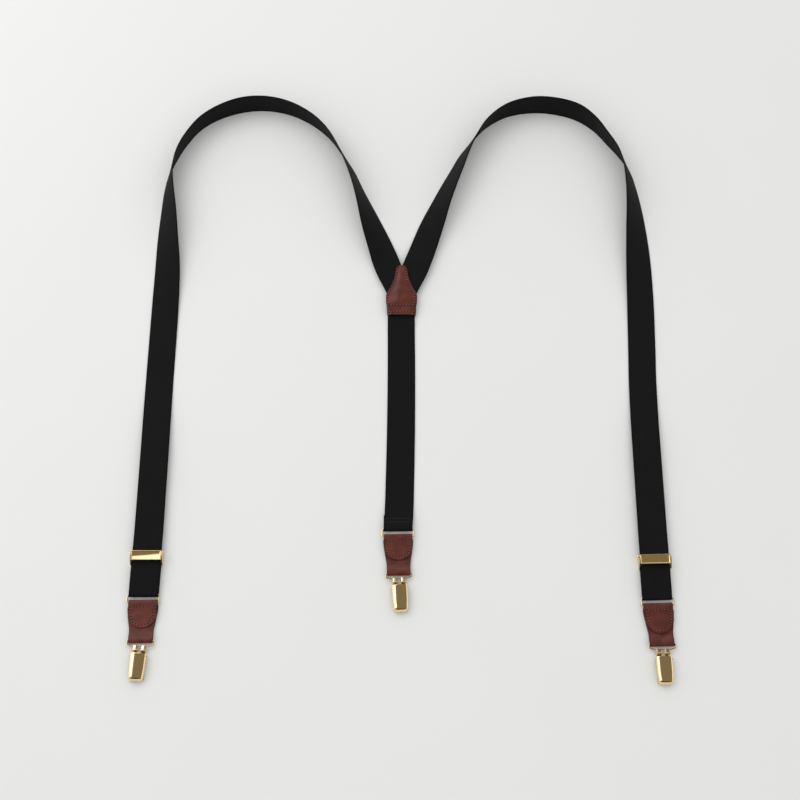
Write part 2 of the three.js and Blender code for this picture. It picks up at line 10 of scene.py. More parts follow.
import bmesh
import bpy
import numpy as np
from mathutils import Matrix, Vector


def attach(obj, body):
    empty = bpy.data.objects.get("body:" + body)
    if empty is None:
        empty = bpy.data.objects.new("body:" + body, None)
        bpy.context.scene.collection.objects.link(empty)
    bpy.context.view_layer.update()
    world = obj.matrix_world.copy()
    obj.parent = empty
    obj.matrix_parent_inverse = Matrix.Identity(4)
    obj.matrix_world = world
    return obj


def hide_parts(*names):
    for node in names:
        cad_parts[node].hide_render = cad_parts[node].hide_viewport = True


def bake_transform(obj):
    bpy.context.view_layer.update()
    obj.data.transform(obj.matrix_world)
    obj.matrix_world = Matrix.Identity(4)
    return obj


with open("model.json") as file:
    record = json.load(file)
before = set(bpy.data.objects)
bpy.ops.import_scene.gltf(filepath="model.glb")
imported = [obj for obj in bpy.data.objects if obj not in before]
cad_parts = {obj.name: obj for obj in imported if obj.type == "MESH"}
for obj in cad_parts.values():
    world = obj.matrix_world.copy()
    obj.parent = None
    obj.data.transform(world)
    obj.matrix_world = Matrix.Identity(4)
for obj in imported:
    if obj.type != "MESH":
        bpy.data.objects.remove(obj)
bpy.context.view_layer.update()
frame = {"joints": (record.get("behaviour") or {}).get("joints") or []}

LOG = logging.getLogger("suspenders")

MM = 0.001
UP = Vector((0.0, 0.0, 1.0))

WEB_WIDTH = 25.0
WEB_THICK = 1.2
LEATHER_THICK = 1.1
WIRE_RADIUS = 0.75
RING_PITCH = 6.5
HARDWARE_Z = 2.5
LAID_Z = 0.7
RUN_Z = 5.2
FLOOR_GAP = 0.1
FOLD_RADIUS = 1.65
PIVOT_Y = 2.6
SEWN_BAR = (-6.2, 2.2, 0.65)

# Shoulder strap routes in millimetres: x, y, lift of the low edge off the table, lean from flat in degrees.
LEFT_ROUTE = (
    (1, -7.2, 2.7, 0), (-4.7, 6.7, 2.7, 0), (-11.2, 20.7, 2.7, 0), (-15.2, 31.7, 2.7, 1),
    (-19.2, 43.9, 1, 14), (-27.3, 66.8, 0, 32), (-34.8, 89.2, 0, 51), (-41.7, 109.1, 0, 63.3),
    (-49.9, 131.3, 0, 69.6), (-59.6, 150.9, 0, 76.2), (-72.2, 171.6, 0, 80.7), (-89.2, 188.6, 0, 84.5),
    (-111.2, 201.3, 0, 87), (-134.6, 206.7, 0, 89), (-158, 204.9, 0, 89.5), (-179.8, 196.3, 0, 86.5),
    (-197.9, 182.7, 0, 84), (-210.6, 164.1, 0, 83), (-218.6, 146.2, 0, 80.5), (-223.2, 128.1, 0, 73),
    (-224.2, 109, 0, 63), (-223, 84, 0, 48.2), (-221.7, 52.7, 0, 31.6), (-220.2, 21.8, 0, 15),
    (-219.9, -18, 0, 3), (-219.7, -60, 0, 0), (-219.5, -100, 0, 0), (-218.7, -135, 2.6, 0),
    (-218, -165, 4.5, 0), (-217.7, -203, 4.5, 0), (-217.4, -240, 4.5, 0),
)
RIGHT_ROUTE = (
    (-0.8, -7.3, 4.15, 0), (5.5, 6.4, 4.15, 0), (12.1, 20.3, 4.15, 0), (16.3, 31.4, 4.15, 2),
    (20.4, 43.8, 1.6, 7.5), (28.5, 67.9, 0, 20), (37, 90.3, 0, 37), (45.4, 111.1, 0, 47.3),
    (54, 130.6, 0, 55.6), (61.7, 148.4, 0, 63.5), (71, 164.8, 0, 73), (83.9, 183.1, 0, 80),
    (104.2, 198.4, 0, 87.5), (129.2, 205, 0, 93), (152.9, 203.5, 0, 94.6), (174.3, 196.1, 0, 93.8),
    (190.3, 182.3, 0, 88), (202.2, 164.5, 0, 82.6), (211.8, 148.8, 0, 76.5), (218.1, 132.9, 0, 67.2),
    (221.2, 114.2, 0, 59), (223, 89, 0, 47), (223.5, 58.4, 0, 30.5), (223.5, 27.1, 0, 15),
    (222.6, -15.3, 0, 3), (220.8, -55, 0, 0), (218.7, -95, 0, 0), (217.2, -135, 2.6, 0),
    (216.5, -165, 4.5, 0), (216.1, -203, 4.5, 0), (215.7, -240, 4.5, 0),
)

# Rear strap: distance above the ring's top bar, height of its middle, sideways bow.
REAR_ROUTE = (
    (246, 1.95, 0), (226, 1.95, 0), (208, 1.85, 0.15), (190, 0.8, 0.4), (164, 0.7, 0.85), (144, 0.7, 1.1),
    (124, 0.7, 1.26), (105, 0.7, 1.34), (86, 0.7, 1.36), (67, 0.7, 1.25), (48, 0.7, 1.1), (27, 0.85, 0.9),
    (19, 1.75, 0.75), (14, 2.3, 0.6), (8, 3.1, 0.4), (3, 4.0, 0.2),
)


class Side(Enum):
    """The three legs of the suspenders."""

    LEFT = "left"
    RIGHT = "right"
    REAR = "rear"


FLAP_LENGTHS = {Side.LEFT: 22.3, Side.RIGHT: 24.2, Side.REAR: 21.4}


class Slot(Enum):
    """The record's material slots."""

    WEBBING = "webbing"
    LEATHER = "leather"
    GILT = "gilt_metal"
    PAD = "grip_pad"


# ---------------------------------------------------------------- small geometry


def smoothstep(value: float) -> float:
    """Return the smooth 0 to 1 step of a value, clamped at both ends."""
    t = min(max(value, 0.0), 1.0)
    return t * t * (3.0 - 2.0 * t)


def table_curve(pairs: Sequence[tuple[float, float]]) -> Callable[[float], float]:
    """Make a smooth curve through given pairs.

    Args:
        pairs: (position, value) pairs with rising positions.

    Returns:
        A function of the position that runs through the pairs without overshoot.
    """
    xs = np.array([p[0] for p in pairs], float)
    ys = np.array([p[1] for p in pairs], float)
    slope = np.gradient(ys, xs)

    def value(x: float) -> float:
        """Return the curve's value at x."""
        i = int(np.clip(np.searchsorted(xs, x) - 1, 0, len(xs) - 2))
        h = xs[i + 1] - xs[i]
        t = float(np.clip((x - xs[i]) / h, 0.0, 1.0))
        a = (1 + 2 * t) * (1 - t) ** 2 * ys[i] + t * (1 - t) ** 2 * h * slope[i]
        return float(a + t * t * (3 - 2 * t) * ys[i + 1] + t * t * (t - 1) * h * slope[i + 1])

    return value


def catmull_rom(points: np.ndarray, per_span: int) -> np.ndarray:
    """Sample a uniform Catmull-Rom curve through every point.

    Args:
        points: one row per control point.
        per_span: samples in each span.

    Returns:
        The sampled rows, the last control point included.
    """
    ends = np.vstack([2 * points[0] - points[1], points, 2 * points[-1] - points[-2]])
    rows = []
    for i in range(len(points) - 1):
        a, b, c, d = ends[i], ends[i + 1], ends[i + 2], ends[i + 3]
        for k in range(per_span):
            t = k / per_span
            rows.append(0.5 * (2 * b + (c - a) * t + (2 * a - 5 * b + 4 * c - d) * t * t
                               + (3 * b - a - 3 * c + d) * t ** 3))
    rows.append(points[-1])
    return np.array(rows)


def even_steps(points: np.ndarray, step: float, key: int) -> np.ndarray:
    """Resample a polyline evenly along its length.

    Args:
        points: one row per point; the first key columns are its place.
        step: distance between samples.
        key: how many columns are the place.

    Returns:
        Evenly spaced rows.
    """
    gaps = np.linalg.norm(np.diff(points[:, :key], axis=0), axis=1)
    along = np.concatenate([[0.0], np.cumsum(gaps)])
    at = np.linspace(0.0, along[-1], max(2, int(round(along[-1] / step)) + 1))
    return np.stack([np.interp(at, along, points[:, k]) for k in range(points.shape[1])], axis=1)


def half_turn(y: float, z: float, radius: float, ring_side: int, steps: int = 14) -> list[tuple[float, float]]:
    """Return (y, z) points of a half turn over a bar, from its top to its underside.

    Args:
        y: the bar's place along the strap.
        z: the bar's height.
        radius: of the turn.
        ring_side: 1 turns on the side towards the clip, -1 on the other side.
        steps: number of chords.

    Returns:
        The points.
    """
    angles = [math.pi * i / steps for i in range(steps + 1)]
    return [(y - ring_side * radius * math.sin(a), z + radius * math.cos(a)) for a in angles]


@dataclass(frozen=True)
class Placement:
    """A place in the plan: an origin in millimetres and a turn about +Z in radians."""

    x: float
    y: float
    turn: float = 0.0

    @staticmethod
    def of_joint(name: str, turn_from: str | None = None) -> "Placement":
        """Return the place of a joint's hinge line.

        Args:
            name: the joint that gives the point.
            turn_from: the joint whose axis gives the turn, when it is another one.

        Returns:
            The placement.
        """
        joints = {j["name"]: j for j in frame["joints"]}
        x, y, _ = joints[name]["pos_m"]
        ax, ay, _ = joints[turn_from or name]["axis"]
        return Placement(x / MM, y / MM, math.atan2(-ay, -ax))

    def matrix(self) -> Matrix:
        """Return the matrix from local millimetres to the row frame in metres."""
        shift = Matrix.Translation((self.x * MM, self.y * MM, 0.0))
        return shift @ Matrix.Rotation(self.turn, 4, "Z") @ Matrix.Scale(MM, 4)

    def point(self, x: float, y: float, z: float) -> Vector:
        """Return a local point, in metres, in the row frame."""
        return self.matrix() @ Vector((x, y, z))

    def across(self) -> Vector:
        """Return the unit vector along local +X."""
        return Vector((math.cos(self.turn), math.sin(self.turn), 0.0))


@dataclass(frozen=True)
class Station:
    """One place along a strip: its middle, the way across, the way out of its face and the distance along."""

    centre: Vector
    across: Vector
    face: Vector
    along: float


def side_stations(path: Sequence[tuple[float, float]], place: Placement, step: float = 0.8,
                  drift: float = 0.0, start: float = 0.0) -> list[Station]:
    """Turn a side-view path into stations.

    Args:
        path: (y, z) or (y, z, sideways bow) middles in the place's own frame, in millimetres.
        place: where the path lies.
        step: distance between stations.
        drift: sideways movement for each millimetre of y.
        start: distance along at the first station.

    Returns:
        Evenly spaced stations in millimetres.
    """
    rows = even_steps(np.array([(*p, 0.0)[:3] for p in path], float), step, 2)
    for _ in range(2):
        rows[1:-1] = 0.5 * rows[1:-1] + 0.25 * (rows[:-2] + rows[2:])
    slope = np.gradient(rows[:, :2], axis=0)
    slope /= np.linalg.norm(slope, axis=1)[:, None]
    across = place.across()
    ahead = Vector((-math.sin(place.turn), math.cos(place.turn), 0.0))
    along = start + np.concatenate([[0.0], np.cumsum(np.linalg.norm(np.diff(rows[:, :2], axis=0), axis=1))])
    stations = []
    for (y, z, bow), (dy, dz), s in zip(rows, slope, along):
        centre = Vector((place.x, place.y, 0.0)) + ahead * y + across * (drift * y + bow) + UP * z
        direction = ahead * dy + UP * dz
        stations.append(Station(centre, across, direction.cross(across).normalized(), float(s)))
    return stations


def route_stations(route: Sequence[Sequence[float]], side: int, step: float = 2.5) -> list[Station]:
    """Turn a shoulder strap's route into stations that stand on their low edge where they lean.

    Args:
        route: rows of x, y, lift and lean.
        side: 1 for the left strap, -1 for the right.
        step: distance between stations.

    Returns:
        Stations from the yoke to the end of the route, in millimetres.
    """
    rows = even_steps(catmull_rom(np.array(route, float), 24), step, 2)
    slope = np.gradient(rows[:, :2], axis=0)
    slope /= np.linalg.norm(slope, axis=1)[:, None]
    along = np.concatenate([[0.0], np.cumsum(np.linalg.norm(np.diff(rows[:, :2], axis=0), axis=1))])
    stations = []
    for (x, y, lift, lean), (dx, dy), s in zip(rows, slope, along):
        roll = math.radians(lean)
        level = UP.cross(Vector((dx, dy, 0.0)))
        height = lift + FLOOR_GAP + WEB_WIDTH / 2 * abs(math.sin(roll)) + WEB_THICK / 2 * abs(math.cos(roll))
        across = level * math.cos(roll) + UP * (side * math.sin(roll))
        face = level * (-side * math.sin(roll)) + UP * math.cos(roll)
        stations.append(Station(Vector((x, y, height)), across, face, float(s)))
    return stations


# ---------------------------------------------------------------- mesh helpers


def to_object(name: str, bm: bmesh.types.BMesh, sharp_angle: float = 38.0) -> bpy.types.Object:
    """Close a bmesh into a linked object with smooth faces and sharp creases.

    Args:
        name: the object's name.
        bm: the finished bmesh, which is freed.
        sharp_angle: creases above this angle, in degrees, stay sharp.

    Returns:
        The new object.
    """
    limit = math.radians(sharp_angle)
    for face in bm.faces:
        face.smooth = True
    for edge in bm.edges:
        edge.smooth = not (len(edge.link_faces) == 2 and edge.calc_face_angle(0.0) > limit)
    mesh = bpy.data.meshes.new(name)
    bm.to_mesh(mesh)
    bm.free()
    thing = bpy.data.objects.new(name, mesh)
    bpy.context.scene.collection.objects.link(thing)
    return thing


def settle(thing: bpy.types.Object) -> bpy.types.Object:
    """Apply a piece's modifiers to its mesh and return the piece."""
    bpy.context.view_layer.update()
    evaluated = thing.evaluated_get(bpy.context.evaluated_depsgraph_get())
    mesh = bpy.data.meshes.new_from_object(evaluated)
    thing.modifiers.clear()
    old = thing.data
    thing.data = mesh
    bpy.data.meshes.remove(old)
    return thing


def place_bmesh(bm: bmesh.types.BMesh, place: Placement) -> None:
    """Move a bmesh made in local millimetres to its place in the row frame, in metres."""
    bmesh.ops.transform(bm, matrix=place.matrix(), verts=bm.verts)


def edges_of(verts: Iterable[bmesh.types.BMVert]) -> list[bmesh.types.BMEdge]:
    """Return the edges on some vertices, once each and always in the same order."""
    return list(dict.fromkeys(edge for vert in verts for edge in vert.link_edges))


def faces_of(verts: Iterable[bmesh.types.BMVert]) -> list[bmesh.types.BMFace]:
    """Return the faces on some vertices, once each and always in the same order."""
    return list(dict.fromkeys(face for vert in verts for face in vert.link_faces))


def add_block(bm: bmesh.types.BMesh, low: Sequence[float], high: Sequence[float], round_by: float = 0.0,
              segments: int = 3) -> list[bmesh.types.BMVert]:
    """Add a block with rounded edges.

    Args:
        bm: the bmesh to add to.
        low: lowest corner.
        high: highest corner.
        round_by: bevel width, or 0 for none.
        segments: bevel segments.

    Returns:
        The block's vertices.
    """
    size = Vector(high) - Vector(low)
    middle = (Vector(high) + Vector(low)) / 2
    matrix = Matrix.Translation(middle) @ Matrix.Diagonal((*size, 1.0))
    made = bmesh.ops.create_cube(bm, size=1.0, matrix=matrix)["verts"]
    if round_by > 0:
        edges = edges_of(made)
        out = bmesh.ops.bevel(bm, geom=edges, offset=round_by, segments=segments, profile=0.5,
                              affect="EDGES", material=-1)
        return list(out["verts"])
    return list(made)


def add_bar(bm: bmesh.types.BMesh, x0: float, x1: float, y: float, z: float, radius: float,
            sides: int = 24, round_by: float = 0.0) -> None:
    """Add a round bar along X with rounded ends.

    Args:
        bm: the bmesh to add to.
        x0: one end.
        x1: the other end.
        y: the bar's y.
        z: the bar's height.
        radius: the bar's radius.
        sides: sides of the bar.
        round_by: rounding of its end edges.
    """
    matrix = Matrix.Translation(((x0 + x1) / 2, y, z)) @ Matrix.Rotation(math.pi / 2, 4, "Y")
    made = bmesh.ops.create_cone(bm, cap_ends=True, segments=sides, radius1=radius, radius2=radius,
                                 depth=x1 - x0, matrix=matrix)["verts"]
    if round_by > 0:
        rims = [e for e in edges_of(made) if e.calc_face_angle(0.0) > 1.0]
        bmesh.ops.bevel(bm, geom=rims, offset=round_by, segments=3, profile=0.5, affect="EDGES", material=-1)


def add_prism(bm: bmesh.types.BMesh, outline: Sequence[tuple[float, float]],
              to_space: Callable[[float, float], Vector], depth: Vector, round_by: float = 0.0,
              segments: int = 2) -> None:
    """Add a flat plate with rounded rims.

    Args:
        bm: the bmesh to add to.
        outline: (u, v) corners.
        to_space: places a corner in space.
        depth: the plate's thickness as a vector.
        round_by: rounding of the two rims.
        segments: bevel segments.
    """
    corners = [bm.verts.new(to_space(u, v)) for u, v in outline]
    face = bm.faces.new(corners)
    out = bmesh.ops.extrude_face_region(bm, geom=[face])
    moved = [g for g in out["geom"] if isinstance(g, bmesh.types.BMVert)]
    bmesh.ops.translate(bm, vec=depth, verts=moved)
    faces = faces_of(corners + moved)
    bmesh.ops.recalc_face_normals(bm, faces=faces)
    if round_by > 0:
        tops = [f for f in faces if all(v in moved for v in f.verts) or all(v in corners for v in f.verts)]
        rims = list(dict.fromkeys(e for f in tops for e in f.edges))
        bmesh.ops.bevel(bm, geom=rims, offset=round_by, segments=segments, profile=0.5, affect="EDGES",
                        material=-1)


def side_plate(bm: bmesh.types.BMesh, outline: Sequence[tuple[float, float]], x: float, thick: float,
               round_by: float = 0.12) -> None:
    """Add a plate with a (y, z) outline, its middle at x."""
    add_prism(bm, outline, lambda y, z: Vector((x - thick / 2, y, z)), Vector((thick, 0, 0)), round_by)


def plan_plate(bm: bmesh.types.BMesh, outline: Sequence[tuple[float, float]], z0: float, z1: float,
               round_by: float = 0.15) -> None:
    """Add a plate with an (x, y) outline, between two heights."""
    add_prism(bm, outline, lambda x, y: Vector((x, y, z0)), Vector((0, 0, z1 - z0)), round_by)


def wire_loop(bm: bmesh.types.BMesh, corners: Sequence[Vector], radius: float, corner_radius: float,
              sides: int = 16, corner_steps: int = 8) -> None:
    """Add a closed loop of round wire through rounded corners, swept by spins and extrusions.

    Args:
        bm: the bmesh to add to.
        corners: the loop's sharp corners, in one plane, in order.
        radius: the wire's radius.
        corner_radius: bend radius of the wire's middle.
        sides: sides of the wire.
        corner_steps: steps in each bend.
    """
    count = len(corners)
    bends = []
    for i, corner in enumerate(corners):
        before = (corners[i - 1] - corner).normalized()
        after = (corners[(i + 1) % count] - corner).normalized()
        angle = math.pi - before.angle(after)
        reach = corner_radius * math.tan(angle / 2)
        middle = corner + (before + after).normalized() * (corner_radius / math.cos(angle / 2))
        axis = (-before).cross(after).normalized()
        bends.append((corner + before * reach, corner + after * reach, middle, axis, angle))
    start = bends[0][1]
    direction = (bends[1][0] - start).normalized()
    turn = direction.to_track_quat("Z", "Y").to_matrix().to_4x4()
    first = bmesh.ops.create_circle(bm, cap_ends=False, segments=sides, radius=radius,
                                    matrix=Matrix.Translation(start) @ turn)["verts"]
    ring = edges_of(first)
    for i in range(1, count + 1):
        into, _, middle, axis, angle = bends[i % count]
        leaving = bends[i - 1][1]
        grown = bmesh.ops.extrude_edge_only(bm, edges=ring)["geom"]
        moved = [g for g in grown if isinstance(g, bmesh.types.BMVert)]
        bmesh.ops.translate(bm, vec=into - leaving, verts=moved)
        ring = [g for g in grown if isinstance(g, bmesh.types.BMEdge) and all(v in moved for v in g.verts)]
        spun = bmesh.ops.spin(bm, geom=ring, cent=middle, axis=axis, angle=angle, steps=corner_steps,
                              use_merge=False, use_duplicate=False)["geom_last"]
        ring = [g for g in spun if isinstance(g, bmesh.types.BMEdge)]
    bmesh.ops.remove_doubles(bm, verts=bm.verts, dist=radius * 0.02)
    bmesh.ops.recalc_face_normals(bm, faces=bm.faces)


# ---------------------------------------------------------------- shader helpers


class NodeBuilder:
    """Adds and links nodes in one tree."""

    def __init__(self, tree: bpy.types.NodeTree) -> None:
        """Keep the tree."""
        self.tree = tree

    def node(self, kind: str, inputs: dict | None = None, **settings) -> bpy.types.Node:
        """Add a node.

        Args:
            kind: the node's type name.
            inputs: socket name or index to a value or an output socket.
            **settings: attributes of the node.

        Returns:
            The node.
        """
        made = self.tree.nodes.new(kind)
        for key, value in settings.items():
            setattr(made, key, value)
        for key, value in (inputs or {}).items():
            socket = made.inputs[key]
            if isinstance(value, bpy.types.NodeSocket):
                self.tree.links.new(value, socket)
            else:
                socket.default_value = value
        return made

    def math(self, operation: str, *values, clamp: bool = False) -> bpy.types.NodeSocket:
        """Add a Math node of numbers or sockets and return its output."""
        made = self.node("ShaderNodeMath", dict(enumerate(values)), operation=operation, use_clamp=clamp)
        return made.outputs[0]

    def ramp(self, value: bpy.types.NodeSocket, low: float, high: float) -> bpy.types.NodeSocket:
        """Map a value from low..high to a smooth 0..1 and return the output."""
        made = self.node("ShaderNodeMapRange", {"Value": value, "From Min": low, "From Max": high},
                         interpolation_type="SMOOTHSTEP", clamp=True)
        return made.outputs["Result"]

    def mix(self, factor, first, second) -> bpy.types.NodeSocket:
        """Mix two colours and return the result."""
        made = self.node("ShaderNodeMix", {0: factor, 6: first, 7: second}, data_type="RGBA")
        return made.outputs[2]


def new_group(name: str, inputs: Iterable[tuple[str, str, float | None]],
              outputs: Iterable[tuple[str, str]]) -> tuple[bpy.types.NodeTree, NodeBuilder, dict, dict]:
    """Start a shader node group.

    Args:
        name: the group's name.
        inputs: (name, socket type, default) of each input.
        outputs: (name, socket type) of each output.

    Returns:
        The group, a builder for it, its input sockets by name and its output sockets by name.
    """
    tree = bpy.data.node_groups.new(name, "ShaderNodeTree")
    for label, kind, default in inputs:
        socket = tree.interface.new_socket(label, in_out="INPUT", socket_type=kind)
        if default is not None:
            socket.default_value = default
    for label, kind in outputs:
        tree.interface.new_socket(label, in_out="OUTPUT", socket_type=kind)
    build = NodeBuilder(tree)
    entry = build.node("NodeGroupInput")
    leave = build.node("NodeGroupOutput")
    given = {socket.name: socket for socket in entry.outputs if socket.name}
    results = {socket.name: socket for socket in leave.inputs if socket.name}
    return tree, build, given, results


FLOAT = "NodeSocketFloat"
VECTOR = "NodeSocketVector"


def twill_group() -> bpy.types.NodeTree:
    """Build the woven webbing pattern: over-and-under threads from a UV in millimetres, with painted shade in
    the hollows between threads.
    """
    tree, b, given, out = new_group(
        "Woven webbing",
        [("UV", VECTOR, None), ("Warp pitch", FLOAT, 0.8), ("Weft pitch", FLOAT, 0.7),
         ("Half width", FLOAT, 12.5), ("Selvedge", FLOAT, 1.4)],
        [("Height", FLOAT), ("Shade", FLOAT), ("Selvedge mask", FLOAT), ("Fuzz", FLOAT)],
    )
    parts = b.node("ShaderNodeSeparateXYZ", {0: given["UV"]})
    warp = b.math("DIVIDE", parts.outputs[0], given["Warp pitch"])
    weft = b.math("DIVIDE", parts.outputs[1], given["Weft pitch"])
    wobble = b.node("ShaderNodeTexNoise", {"Vector": given["UV"], "Scale": 0.35, "Detail": 2.0})
    sway = b.math("MULTIPLY", b.math("SUBTRACT", wobble.outputs[0], 0.5), 0.7)
    warp = b.math("ADD", warp, sway)
    column = b.math("FLOOR", warp)
    row = b.math("FLOOR", weft)
    step = b.math("ADD", column, row)
    phase = b.math("FLOORED_MODULO", step, 4.0)
    over = b.math("LESS_THAN", phase, 1.5)
    warp_round = b.math("ABSOLUTE", b.math("SINE", b.math("MULTIPLY", warp, math.pi)))
    weft_round = b.math("ABSOLUTE", b.math("SINE", b.math("MULTIPLY", weft, math.pi)))
    warp_part = b.math("MULTIPLY", over, warp_round)
    weft_part = b.math("MULTIPLY", b.math("SUBTRACT", 1.0, over), b.math("MULTIPLY", weft_round, 0.7))
    thread = b.math("ADD", warp_part, weft_part)
    edge = b.math("SUBTRACT", given["Half width"], b.math("ABSOLUTE", parts.outputs[0]))
    inside = b.ramp(b.math("SUBTRACT", edge, given["Selvedge"]), -0.15, 0.15)
    rib = b.math("ABSOLUTE", b.math("SINE", b.math("MULTIPLY", parts.outputs[0], math.pi / 0.55)))
    height = b.math("ADD", b.math("MULTIPLY", thread, inside),
                    b.math("MULTIPLY", rib, b.math("SUBTRACT", 1.0, inside)))
    fuzz = b.node("ShaderNodeTexNoise", {"Vector": given["UV"], "Scale": 3.1, "Detail": 3.0, "Roughness": 0.7})
    blotch = b.node("ShaderNodeTexNoise", {"Vector": given["UV"], "Scale": 0.06, "Detail": 2.0})
    # Colour tone: thread crowns painted lighter and the hollows between threads painted darker as shade, mixed
    # with random blotches.
    shade = b.math("ADD", b.math("MULTIPLY", height, 0.7), b.math("MULTIPLY", blotch.outputs[0], 0.3))
    links = tree.links
    links.new(b.math("ADD", height, b.math("MULTIPLY", fuzz.outputs[0], 0.25)), out["Height"])
    links.new(shade, out["Shade"])
    links.new(b.math("SUBTRACT", 1.0, inside), out["Selvedge mask"])
    links.new(fuzz.outputs[0], out["Fuzz"])
    return tree


def grain_group() -> bpy.types.NodeTree:
    """Build fine leather grain: pebbles, pores and slow blotches from a position in millimetres."""
    tree, b, given, out = new_group(
        "Leather grain",
        [("Vector", VECTOR, None), ("Scale", FLOAT, 1.0)],
        [("Height", FLOAT), ("Pores", FLOAT), ("Blotch", FLOAT)],
    )
    cells = b.node("ShaderNodeTexVoronoi", {"Vector": given["Vector"], "Randomness": 0.9},
                   feature="SMOOTH_F1")
    b.tree.links.new(b.math("MULTIPLY", given["Scale"], 2.2), cells.inputs["Scale"])
    wrinkle = b.node("ShaderNodeTexNoise", {"Vector": given["Vector"], "Detail": 4.0, "Roughness": 0.65})
    b.tree.links.new(b.math("MULTIPLY", given["Scale"], 0.9), wrinkle.inputs["Scale"])
    pores = b.node("ShaderNodeTexVoronoi", {"Vector": given["Vector"], "Randomness": 1.0})
    b.tree.links.new(b.math("MULTIPLY", given["Scale"], 1.3), pores.inputs["Scale"])
    pore = b.math("SUBTRACT", 1.0, b.ramp(pores.outputs["Distance"], 0.03, 0.14))
    blotch = b.node("ShaderNodeTexNoise", {"Vector": given["Vector"], "Detail": 3.0})
    b.tree.links.new(b.math("MULTIPLY", given["Scale"], 0.14), blotch.inputs["Scale"])
    height = b.math("ADD", b.math("MULTIPLY", cells.outputs["Distance"], -0.5),
                    b.math("MULTIPLY", wrinkle.outputs[0], 0.6))
    tree.links.new(b.math("SUBTRACT", height, b.math("MULTIPLY", pore, 0.5)), out["Height"])
    tree.links.new(pore, out["Pores"])
    tree.links.new(blotch.outputs[0], out["Blotch"])
    return tree


def scratch_group() -> bpy.types.NodeTree:
    """Build the faint polishing marks and smudges of plated metal from a position in millimetres."""
    tree, b, given, out = new_group(
        "Polishing marks",
        [("Vector", VECTOR, None), ("Stretch", FLOAT, 14.0)],
        [("Height", FLOAT), ("Smudge", FLOAT)],
    )
    parts = b.node("ShaderNodeSeparateXYZ", {0: given["Vector"]})
    long_way = b.math("DIVIDE", parts.outputs[1], given["Stretch"])
    drawn = b.node("ShaderNodeCombineXYZ", {0: parts.outputs[0], 1: long_way, 2: parts.outputs[2]})
    lines = b.node("ShaderNodeTexNoise", {"Vector": drawn.outputs[0], "Scale": 6.0, "Detail": 3.0})
    smudge = b.node("ShaderNodeTexNoise", {"Vector": given["Vector"], "Scale": 0.35, "Detail": 3.0})
    tree.links.new(lines.outputs[0], out["Height"])
    tree.links.new(smudge.outputs[0], out["Smudge"])
    return tree


class Groups:
    """The shared shader effects, each built once."""

    twill: bpy.types.NodeTree
    grain: bpy.types.NodeTree
    scratches: bpy.types.NodeTree

    @classmethod
    def build(cls) -> None:
        """Build every group."""
        cls.twill = twill_group()
        cls.grain = grain_group()
        cls.scratches = scratch_group()


def start_material(name: str) -> tuple[bpy.types.Material, NodeBuilder, bpy.types.Node]:
    """Start a material.

    Args:
        name: its name.

    Returns:
        The material, a builder for its nodes and its Principled shader.
    """
    material = bpy.data.materials.new(name)
    material.use_nodes = True
    material.node_tree.nodes.clear()
    b = NodeBuilder(material.node_tree)
    shader = b.node("ShaderNodeBsdfPrincipled")
    output = b.node("ShaderNodeOutputMaterial", {"Surface": shader.outputs[0]})
    output.is_active_output = True
    return material, b, shader


def in_millimetres(b: NodeBuilder, source: str = "Object") -> bpy.types.NodeSocket:
    """Return Texture Coordinate's output, scaled from metres to millimetres."""
    coordinates = b.node("ShaderNodeTexCoord")
    scaled = b.node("ShaderNodeMapping", {"Vector": coordinates.outputs[source],
                                          "Scale": (1 / MM, 1 / MM, 1 / MM)})
    return scaled.outputs[0]


def use_group(b: NodeBuilder, tree: bpy.types.NodeTree, inputs: dict) -> bpy.types.Node:
    """Place a node group with its inputs and return the node."""
    made = b.node("ShaderNodeGroup", node_tree=tree)
    for key, value in inputs.items():
        if isinstance(value, bpy.types.NodeSocket):
            b.tree.links.new(value, made.inputs[key])
        else:
            made.inputs[key].default_value = value
    return made


@dataclass(frozen=True)
class WebbingFinish:
    """Black twill webbing with ribbed selvedges."""

    dark: tuple[float, float, float, float] = (0.0016, 0.0017, 0.0019, 1.0)
    light: tuple[float, float, float, float] = (0.0095, 0.0099, 0.0106, 1.0)
    lint: tuple[float, float, float, float] = (0.018, 0.017, 0.0165, 1.0)
    roughness: float = 0.78
    bump_mm: float = 0.16

    def material(self, name: str) -> bpy.types.Material:
        """Return the material, which reads the piece's UV map in metres."""
        material, b, shader = start_material(name)
        weave = use_group(b, Groups.twill, {"UV": in_millimetres(b, "UV")})
        # Painted shade: the weave's thread crowns lighter and its hollows darker, mixed with random blotches
        # of tone.
        tone = b.mix(weave.outputs["Shade"], self.dark, self.light)
        fleck = b.ramp(weave.outputs["Fuzz"], 0.62, 0.74)
        colour = b.mix(b.math("MULTIPLY", fleck, 0.35), tone, self.lint)
        rim = b.mix(b.math("MULTIPLY", weave.outputs["Selvedge mask"], 0.45), colour, self.dark)
        bump = b.node("ShaderNodeBump", {"Height": weave.outputs["Height"], "Strength": 0.8,
                                         "Distance": self.bump_mm * MM})
        b.tree.links.new(rim, shader.inputs["Base Color"])
        b.tree.links.new(bump.outputs[0], shader.inputs["Normal"])
        shader.inputs["Roughness"].default_value = self.roughness
        shader.inputs["Specular IOR Level"].default_value = 0.13
        shader.inputs["Sheen Weight"].default_value = 0.03
        shader.inputs["Sheen Roughness"].default_value = 0.4
        shader.inputs["Sheen Tint"].default_value = (0.5, 0.5, 0.55, 1.0)
        return material


